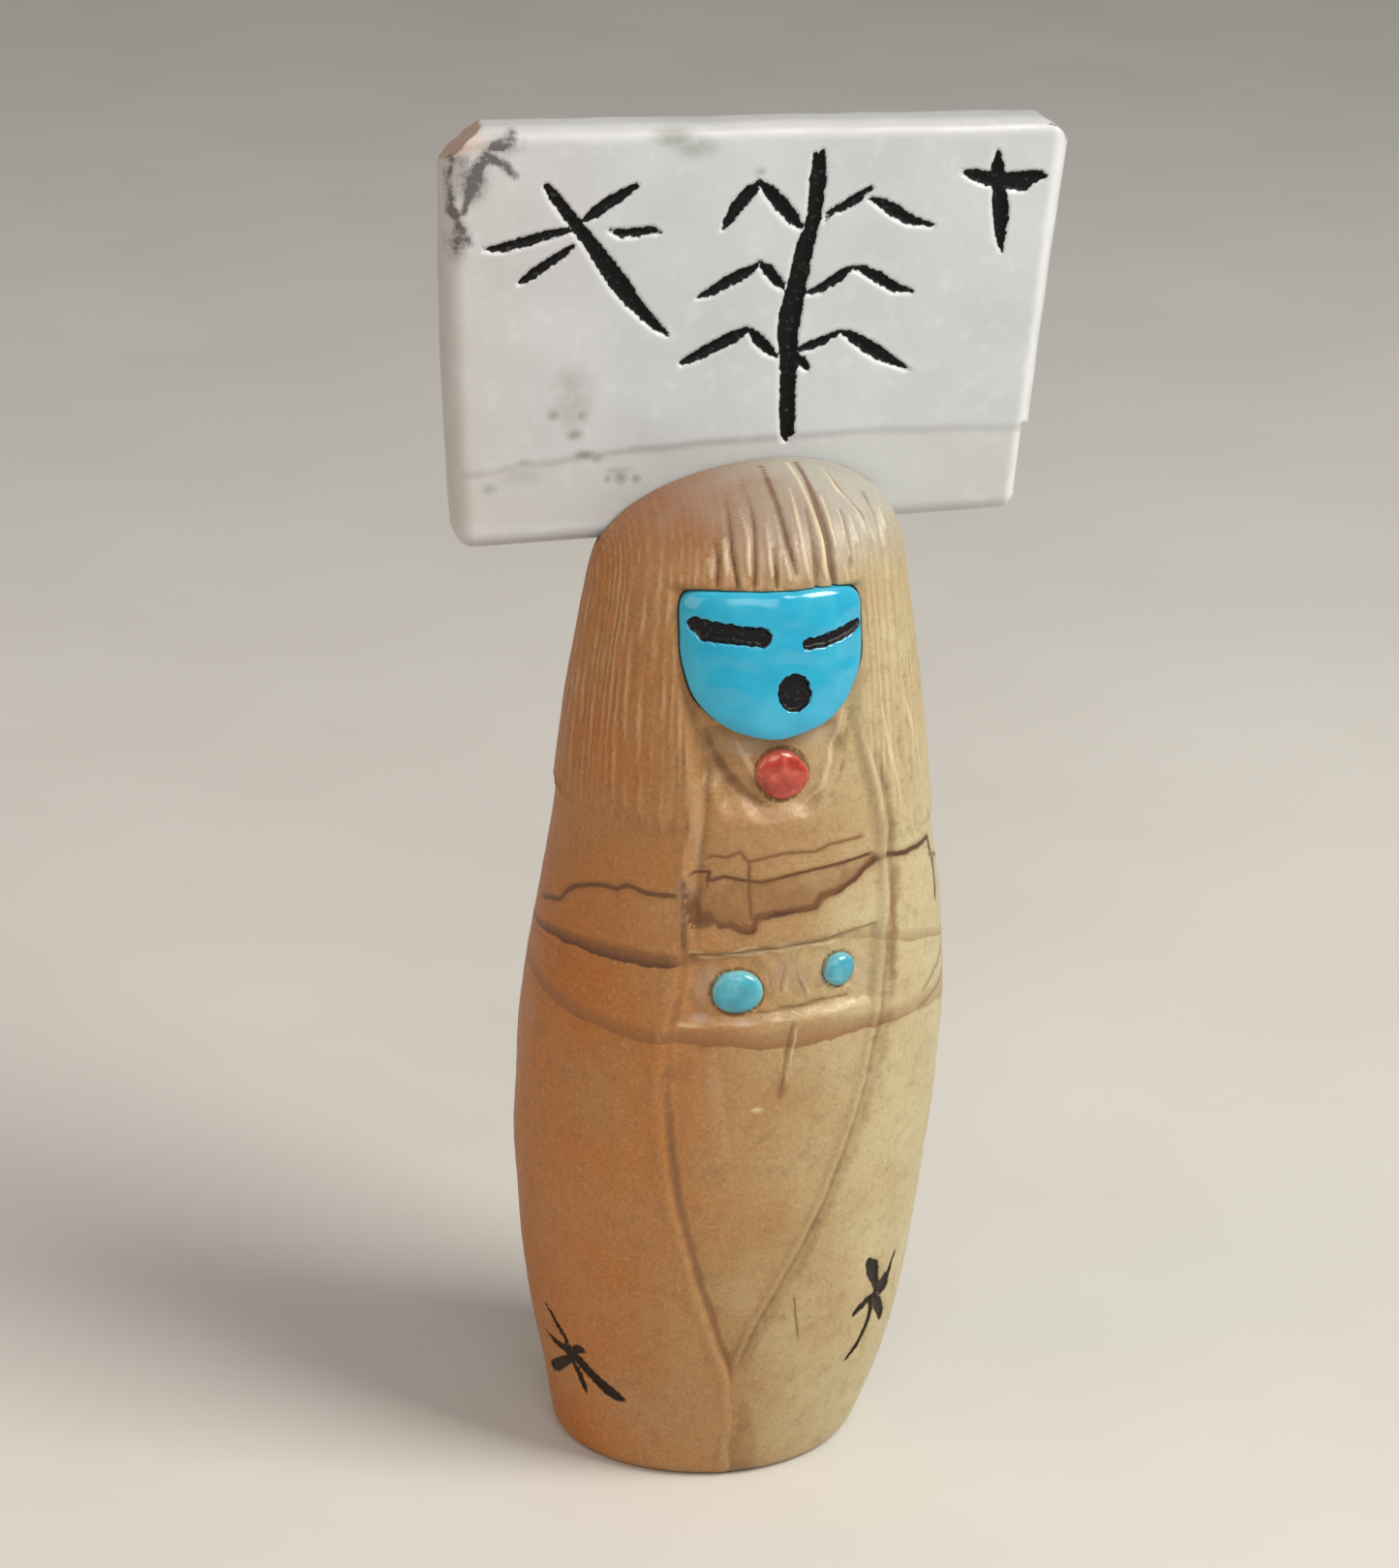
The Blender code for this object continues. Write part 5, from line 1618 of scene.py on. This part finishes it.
    def front_panel(self, x: np.ndarray, z: np.ndarray) -> tuple[np.ndarray, ...]:
        """What is cut into the front panel: the neck's hollow, the belt, the sash and two loose cuts.

        Args:
            x: the place seen from the front.
            z: the height.

        Returns:
            The depth, how surely a place is on the belt, how deep in a groove it is, and how pale and worn.
        """
        flat = np.column_stack((x, z))
        chin = self.mask.top - self.mask.height
        across = np.abs(x) / (0.82 * self.mask.width / 2)
        down = np.clip(chin - z, 0, None) / (chin - self.neck_foot)
        hollow = across**2.6 + down**2.6 + 0.16 * ripple(flat, 3.0, 33)
        neck = (1 - rise(0.55, 1.2, hollow)) * (1 - rise(chin, chin + 0.9, z))
        middle = self.belt_height + self.belt_tilt * x
        half = (self.belt_width + self.belt_flare * x) / 2
        away = np.abs(z - middle) - half + 0.07 * ripple(flat, 4.0, 31)
        belt = 1 - rise(-0.2, 0.15, away)
        folds = covered(x, z, self.chest_folds, 0.35, 0.3, 0.1 * ripple(flat, 1.5, 34))
        fall = (middle - half - z) / (middle - half - self.sash_point)
        hangs = rise(0, 0.1, fall) * (1 - rise(0.9, 1, fall))
        creases = np.zeros(x.shape)
        for root in self.sash_roots:
            creases += ridge(x - root - (self.sash_tip - root) * fall, 0.4)
        cuts = covered(x, z, self.panel_cuts, 0.15, 0.15)
        line = covered(x, z, self.belt_lines, 0.1, 0.12)
        slant = np.column_stack((x + z * 0.5, (z - x * 0.3) * 0.45))
        depth = self.neck_depth * neck + self.belt_depth * belt + self.crease_depth * hangs * creases
        depth = depth + self.cut_depth * cuts + belt * self.chisel_depth * ripple(slant, 1.8, 32)
        depth = depth + self.fold_depth * folds + self.line_depth * line
        # A line of painted shade lies under the belt's upper edge, and both rims are worn pale in patches
        corner = 0.6 * ridge(away + 0.1, 0.17) * rise(0, 1, z - middle)
        marks = [0.2 * hangs * creases, 0.8 * cuts, corner, line, 0.9 * folds]
        worn = 0.3 + 0.5 * rise(-0.4, 0.6, ripple(flat, 2.5, 35))
        return depth, belt, np.maximum.reduce(marks), worn * ridge(away - 0.12, 0.2)

    def carve(self, angle: np.ndarray, z: np.ndarray) -> dict[str, np.ndarray]:
        """The carving at places on the figure.

        Args:
            angle: the angle round the figure, 0 at the front.
            z: the height.

        Returns:
            The relief in millimetres, and from 0 to 1 the groove, crest, hair and belt, the number of the
            hair's strand, and the distance from the black strokes.
        """
        middle, half_width, _ = self.form.section(z)
        x = middle + half_width * np.sin(angle)
        share = z / self.form.height
        front = rise(0, 0.3, np.cos(angle))
        wander = 0.1 * ripple(np.column_stack((x, z)), 6.0, 41)
        to_left = x - smooth_line(self.robe_left, share) * self.form.width / 2 + wander
        to_right = smooth_line(self.robe_right, share) * self.form.width / 2 - x + wander
        inward = np.minimum(to_left, to_right)
        under = front * (1 - rise(self.fringe_foot - 2 * self.fringe_blend, self.fringe_foot, share))
        panel = rise(0, self.edge_width, inward)
        hair, cover, hair_groove, strand = self.hair(angle, z, front * rise(-0.27, 0.27, inward))
        edge, edge_groove, edge_crest = self.robe_edge(to_left, to_right, z)
        depth, belt, panel_groove, rims = self.front_panel(x, z)
        gouge = covered(x, z, self.fringe_gouges, 0.2, 0.14) * front
        lips = covered(x, z, self.fringe_crests, 0.16, 0.14) * front
        bright = covered(x, z, self.scratches, 0.06, 0.12) * front
        along = np.degrees(angle) * self.degree_length
        ink = from_strokes(along, z, self.flattened(self.small_dragonflies))
        relief = hair + under * (edge - panel * depth) - self.gouge_depth * gouge + self.lip_height * lips
        relief = relief - self.ink_depth * (1 - rise(-0.12, 0.1, ink))
        on_panel = under * panel
        groove = [0.25 * hair_groove, under * edge_groove, on_panel * panel_groove, 1.1 * gouge]
        crest = [0.6 * under * edge_crest, 1.2 * lips, 0.9 * bright, on_panel * rims]
        return {
            "relief": relief,
            "groove": np.maximum.reduce(groove),
            "crest": np.maximum.reduce(crest),
            "hair": cover,
            "strand": strand,
            "belt": on_panel * belt,
            "ink": ink,
        }

    def flattened(self, strokes: Strokes) -> Strokes:
        """Strokes given in degrees turned to millimetres along the surface."""
        return tuple(tuple((a * self.degree_length, z, width) for a, z, width in line) for line in strokes)

    def band_fields(self, angle: np.ndarray, z: np.ndarray) -> tuple[np.ndarray, ...]:
        """Where places lie in the two bands across the figure.

        Args:
            angle: the angle round the figure.
            z: the height.

        Returns:
            The level in the nearest band, -1 at its foot and 1 at its top, its strength and its tone.
        """
        degrees = np.degrees(angle)
        level, strength, tone = np.full(z.shape, 3.0), np.zeros(z.shape), np.zeros(z.shape)
        at_left = 1 - rise(-32, -24, degrees)
        at_right = rise(28, 45, degrees)
        looks = (
            (self.dark_band, 0.5 + 0.5 * at_left + 0.1 * at_right, 1 - at_left),
            (self.soft_band, 0.8 - 0.3 * at_right, np.full(z.shape, 0.5)),
        )
        for (foot, top), power, hue in looks:
            low, high = smooth_line(foot, degrees), smooth_line(top, degrees)
            here = (z - (low + high) / 2) / np.maximum((high - low) / 2, 0.2)
            near = np.abs(here) < 3
            level = np.where(near, here, level)
            strength = np.where(near, power * (1 - rise(2.2, 2.9, np.abs(here))), strength)
            tone = np.where(near, hue, tone)
        return level, strength, tone

    def vein_fields(self, angle: np.ndarray, z: np.ndarray, group: int) -> tuple[np.ndarray, ...]:
        """Where places lie beside the nearest thin vein of one group.

        Args:
            angle: the angle round the figure.
            z: the height.
            group: which group.

        Returns:
            The distance in half widths, below 0 on one side of the vein, the strength and the tone.
        """
        along = np.degrees(angle) * self.degree_length
        side, strength, tone = np.full(z.shape, 4.0), np.zeros(z.shape), np.zeros(z.shape)
        nearest = np.full(z.shape, FAR)
        for vein in (vein for vein in self.veins if vein.group == group):
            line = np.array(vein.points, float)
            if not vein.in_degrees:
                centre, half, _ = self.form.section(line[:, 1])
                line[:, 0] = np.degrees(np.arcsin((line[:, 0] - centre) / half))
            line[:, 0] *= self.degree_length
            steps = np.linalg.norm(np.diff(line, axis=0), axis=1)
            starts = np.concatenate(([0], np.cumsum(steps)))
            for (x0, z0), (x1, z1), start in zip(line[:-1], line[1:], starts):
                run_x, run_z = x1 - x0, z1 - z0
                t = np.clip(((along - x0) * run_x + (z - z0) * run_z) / (run_x**2 + run_z**2), 0, 1)
                off_x, off_z = along - x0 - t * run_x, z - z0 - t * run_z
                away = np.hypot(off_x, off_z)
                closer = (away < nearest) & (away < 1.2)
                travel = start + t * math.hypot(run_x, run_z)
                ends = rise(0, 0.6, travel) * rise(0, 0.6, starts[-1] - travel)
                sign = np.where(run_x * off_z - run_z * off_x < 0, -1.0, 1.0)
                side = np.where(closer, sign * away / (vein.width / 2), side)
                strength = np.where(closer, vein.strength * ends * (1 - rise(0.35, 0.65, away)), strength)
                tone = np.where(closer, vein.tone, tone)
                nearest = np.where(closer, away, nearest)
        return side, strength, tone

    def tint(self, x: np.ndarray, z: np.ndarray, foot_line: Line, top_line: Line) -> np.ndarray:
        """A brown tint between two lines in the stone.

        Args:
            x: the place seen from the front.
            z: the height.
            foot_line: the lower line.
            top_line: the upper line.

        Returns:
            The tint, from 0 to 1, deepest at its foot.
        """
        foot, top = smooth_line(foot_line, x), smooth_line(top_line, x)
        share = np.clip((z - foot) / np.maximum(top - foot, 0.3), 0, 1)
        inside = rise(-0.15, 0.1, z - foot) * (1 - rise(-0.2, 0.2, z - top))
        first, last = foot_line[0][0], foot_line[-1][0]
        ends = rise(first, first + 0.4, x) * (1 - rise(last - 1.2, last, x))
        return inside * ends * (1.1 - 0.6 * share)

    def keep_looks(self, obj: bpy.types.Object) -> None:
        """Stores where the figure is banded, veined, carved, worn and stained, and where highlight and
        shade are painted on it.

        Args:
            obj: the figure, with its beds cut.
        """
        points = points_of(obj)
        angle = self.form.turn_at(points)
        x, _, z = points.T
        carved = self.carve(angle, z)
        front = np.cos(angle) > 0
        keep_field(obj, "band", *self.band_fields(angle, z))
        for group in range(VEIN_GROUPS):
            keep_field(obj, f"vein_{group}", *self.vein_fields(angle, z, group))
        nicks = spots(x, z, self.nicks) * front
        haze = spots(x, z, self.hazes) * front
        # The groove mask is painted darker, as dirt and painted shade; the crest mask paler, as wear and
        # painted highlight
        keep_field(obj, "carved", carved["groove"], np.maximum(carved["crest"], nicks), haze)
        tint = self.tint(x, z, self.tint_foot, self.tint_top)
        seam = 0.85 * self.tint(x, z, self.seam_foot, self.seam_top)
        # Stains and tints in the stone, with a few spots of painted shade
        stain_and_shade = np.maximum.reduce((spots(x, z, self.stains_and_shadows), tint, seam)) * front
        keep_field(obj, "zones", carved["hair"], carved["belt"], stain_and_shade)
        keep_field(obj, "strand", carved["strand"])
        shoulder = self.form.dome_start
        crown = carved["hair"] * rise(shoulder, shoulder + 0.08, z / self.form.height)
        keep_field(obj, "crown", crown)
        keep_field(obj, "ink", carved["ink"])

    def shape(self) -> tuple[np.ndarray, list]:
        """Lays out the carved figure, with rings closer together at the belt and the chest.

        Returns:
            The points as rows in millimetres, and the faces.
        """
        form = self.form
        ring, turn, faces = globe(self.foot_rings + self.flank_rings + self.dome_rings, self.segments)
        angle = np.where(turn > np.pi, turn - 2 * np.pi, turn)
        angle = angle - self.front_crowding * np.sin(angle)
        across = np.clip(ring / self.foot_rings, 0, 1)
        flank = np.clip((ring - self.foot_rings) / self.flank_rings, 0, 1)
        dome = np.clip((ring - self.foot_rings - self.flank_rings) / self.dome_rings, 0, 1)
        dome = np.sin(dome * np.pi / 2)
        shoulder = form.dome_start * form.height
        wave = np.sin(2 * np.pi * (flank - self.crowded_share)) + np.sin(2 * np.pi * self.crowded_share)
        z = shoulder * (flank - self.chest_crowding / (2 * np.pi) * wave) + (form.height - shoulder) * dome
        middle, half_width, half_depth = form.section(z)
        relief = self.carve(angle, z)["relief"] * rise(0, self.crown_fade, 1 - dome)
        plain = np.column_stack((half_width * np.sin(angle), -half_depth * np.cos(angle), z))
        uneven = self.skin_waves * ripple(plain, 9.0, 51) + self.skin_grain * ripple(plain, 2.2, 52)
        relief = relief + uneven * rise(0, 1.5, z)
        x = middle + (half_width + relief) * across * np.sin(angle)
        y = -(half_depth + relief) * across * np.cos(angle)
        return np.column_stack((x, y, z)), faces

    def build(self, cutters: list[bpy.types.Object]) -> bpy.types.Object:
        """Builds the figure and cuts the beds for the set-in pieces.

        Args:
            cutters: the shapes of the slot and the beds.

        Returns:
            The dressed piece.
        """
        obj = make_piece("carved_figure", *self.shape())
        stone, glue = BandedStone().material(), BedGlue().material()
        for material in (stone, glue):
            obj.data.materials.append(material)
        cut_beds(obj, cutters)
        self.keep_looks(obj)
        dress(obj, Slot.FIGURE, "stone_figure", stone, glue)
        return obj


@dataclass(frozen=True)
class Lamp:
    """A square soft lamp that looks at the figure's middle. Lengths are in metres.

    Its turn is in degrees from the front towards the right, and its climb in degrees above the floor.
    """

    name: str
    turn: float
    climb: float
    away: float
    side: float
    watts: float
    colour: str
    aim_height: float = 0.05

    def hang(self) -> None:
        """Hangs the lamp in the scene."""
        lamp = bpy.data.lights.new(self.name, "AREA")
        lamp.size = self.side
        lamp.energy = self.watts
        lamp.color = linear(self.colour)[:3]
        obj = bpy.data.objects.new(self.name, lamp)
        turn, climb = math.radians(self.turn), math.radians(self.climb)
        level = self.away * math.cos(climb)
        spot = Vector((level * math.sin(turn), -level * math.cos(turn), self.away * math.sin(climb)))
        obj.location = Vector((0, 0, self.aim_height)) + spot
        obj.rotation_euler = (-spot).to_track_quat("-Z", "Y").to_euler()
        bpy.context.scene.collection.objects.link(obj)


@dataclass
class Studio:
    """The pale floor, the soft lights and the camera. Lengths are in metres and angles in degrees."""

    floor_colour: str = "#dcdad5"
    floor_shade: str = "#cfccc6"
    floor_size: float = 6.0
    floor_roughness: float = 0.85
    room_colour: str = "#f2f2f0"
    room_strength: float = 0.28
    lamps: tuple[Lamp, ...] = (
        Lamp("key_softbox", turn=52, climb=46, away=0.6, side=0.28, watts=3.6, colour="#fffaf2"),
        Lamp("left_fill", turn=-75, climb=25, away=0.7, side=0.5, watts=1.2, colour="#ffe2c4"),
        Lamp("front_fill", turn=-10, climb=35, away=0.9, side=0.5, watts=1.8, colour="#ffffff"),
    )
    camera_turn: float = -15.0
    camera_distance: float = 0.29
    camera_height: float = 0.160
    yaw: float = 14.55348126
    pitch: float = 20.53119468
    roll: float = 1.94336848
    focal_pixels: float = 4404.14
    sensor: float = 36.0

    def lay_floor(self) -> None:
        """Lays a flat sheet of matt painted board, with faint roller marks 40 mm across."""
        reach = self.floor_size / 2 / MM
        corners = [(-reach, -reach, 0.0), (reach, -reach, 0.0), (reach, reach, 0.0), (-reach, reach, 0.0)]
        floor = make_piece("painted_floor", np.array(corners), [[0, 1, 2, 3]])
        material, tree = blank_material("rolled_matt_paint")
        place = put(tree, "TexCoord", out="Object")
        marks = put(tree, "TexNoise", {"Vector": place, "Scale": 25.0, "Detail": 4.0})
        colour = lay_over(tree, self.floor_colour, [(self.floor_shade, marks)])
        shader = put(tree, "BsdfPrincipled", {"Base Color": colour, "Roughness": self.floor_roughness})
        put(tree, "OutputMaterial", {0: shader})
        floor.data.materials.append(material)

    def light(self) -> None:
        """Hangs the lamps and sets the pale surroundings."""
        for lamp in self.lamps:
            lamp.hang()
        world = bpy.data.worlds.new("pale_room")
        world.use_nodes = True
        background = world.node_tree.nodes["Background"]
        background.inputs["Color"].default_value = linear(self.room_colour)
        background.inputs["Strength"].default_value = self.room_strength
        bpy.context.scene.world = world
        bpy.context.scene.view_settings.view_transform = "Standard"

    def aim_camera(self) -> None:
        """Sets the camera at the photograph's viewing angle."""
        yaw, pitch, roll = (math.radians(angle) for angle in (self.yaw, self.pitch, self.roll))
        ahead = Vector((math.sin(yaw) * math.cos(pitch), math.cos(yaw) * math.cos(pitch), -math.sin(pitch)))
        level = Vector((math.cos(yaw), -math.sin(yaw), 0))
        over = level.cross(ahead)
        right = level * math.cos(roll) + over * math.sin(roll)
        up = over * math.cos(roll) - level * math.sin(roll)
        turned = math.radians(self.camera_turn)
        spot = Vector((math.sin(turned), -math.cos(turned), 0)) * self.camera_distance
        spot.z = self.camera_height
        lens = bpy.data.cameras.new("camera")
        lens.sensor_width = self.sensor
        lens.lens = self.focal_pixels / PICTURE_HEIGHT * self.sensor
        lens.clip_start = 0.01
        camera = bpy.data.objects.new("camera", lens)
        matrix = Matrix((right, up, -ahead)).transposed().to_4x4()
        matrix.translation = spot
        camera.matrix_world = matrix
        bpy.context.scene.collection.objects.link(camera)
        bpy.context.scene.camera = camera

    def build(self) -> None:
        """Lays the floor, hangs the lamps and aims the camera."""
        self.lay_floor()
        self.light()
        self.aim_camera()


def main() -> None:
    """Builds every piece in order."""
    form = FigureForm()
    mask = Mask(form)
    slab = SlabHeaddress()
    coral = Inlay(form, "coral_dot", 1.0, 55.98, 3.6, CORAL, Slot.CORAL, sunk=1.1, unevenness=0.1, seed=3)
    dots = (("belt_dot_left", -2.4, 40.38, 3.6, 0.87, 5), ("belt_dot_right", 5.6, 41.5, 2.35, 1.06, 8))
    inlays = [coral] + [
        Inlay(form, name, x, z, size, PALE_TURQUOISE, Slot.TURQUOISE, sunk=0.95, squash=squash, seed=seed)
        for name, x, z, size, squash, seed in dots
    ]
    for piece in (slab, mask, *inlays):
        piece.build()
    beds = [slab.slot_cutter(), mask.bed_cutter()] + [inlay.bed_cutter() for inlay in inlays]
    Figure(form, mask).build(beds)
    Studio().build()


if __name__ == "__main__":
    logging.basicConfig(level=logging.INFO, format="%(message)s")
    main()
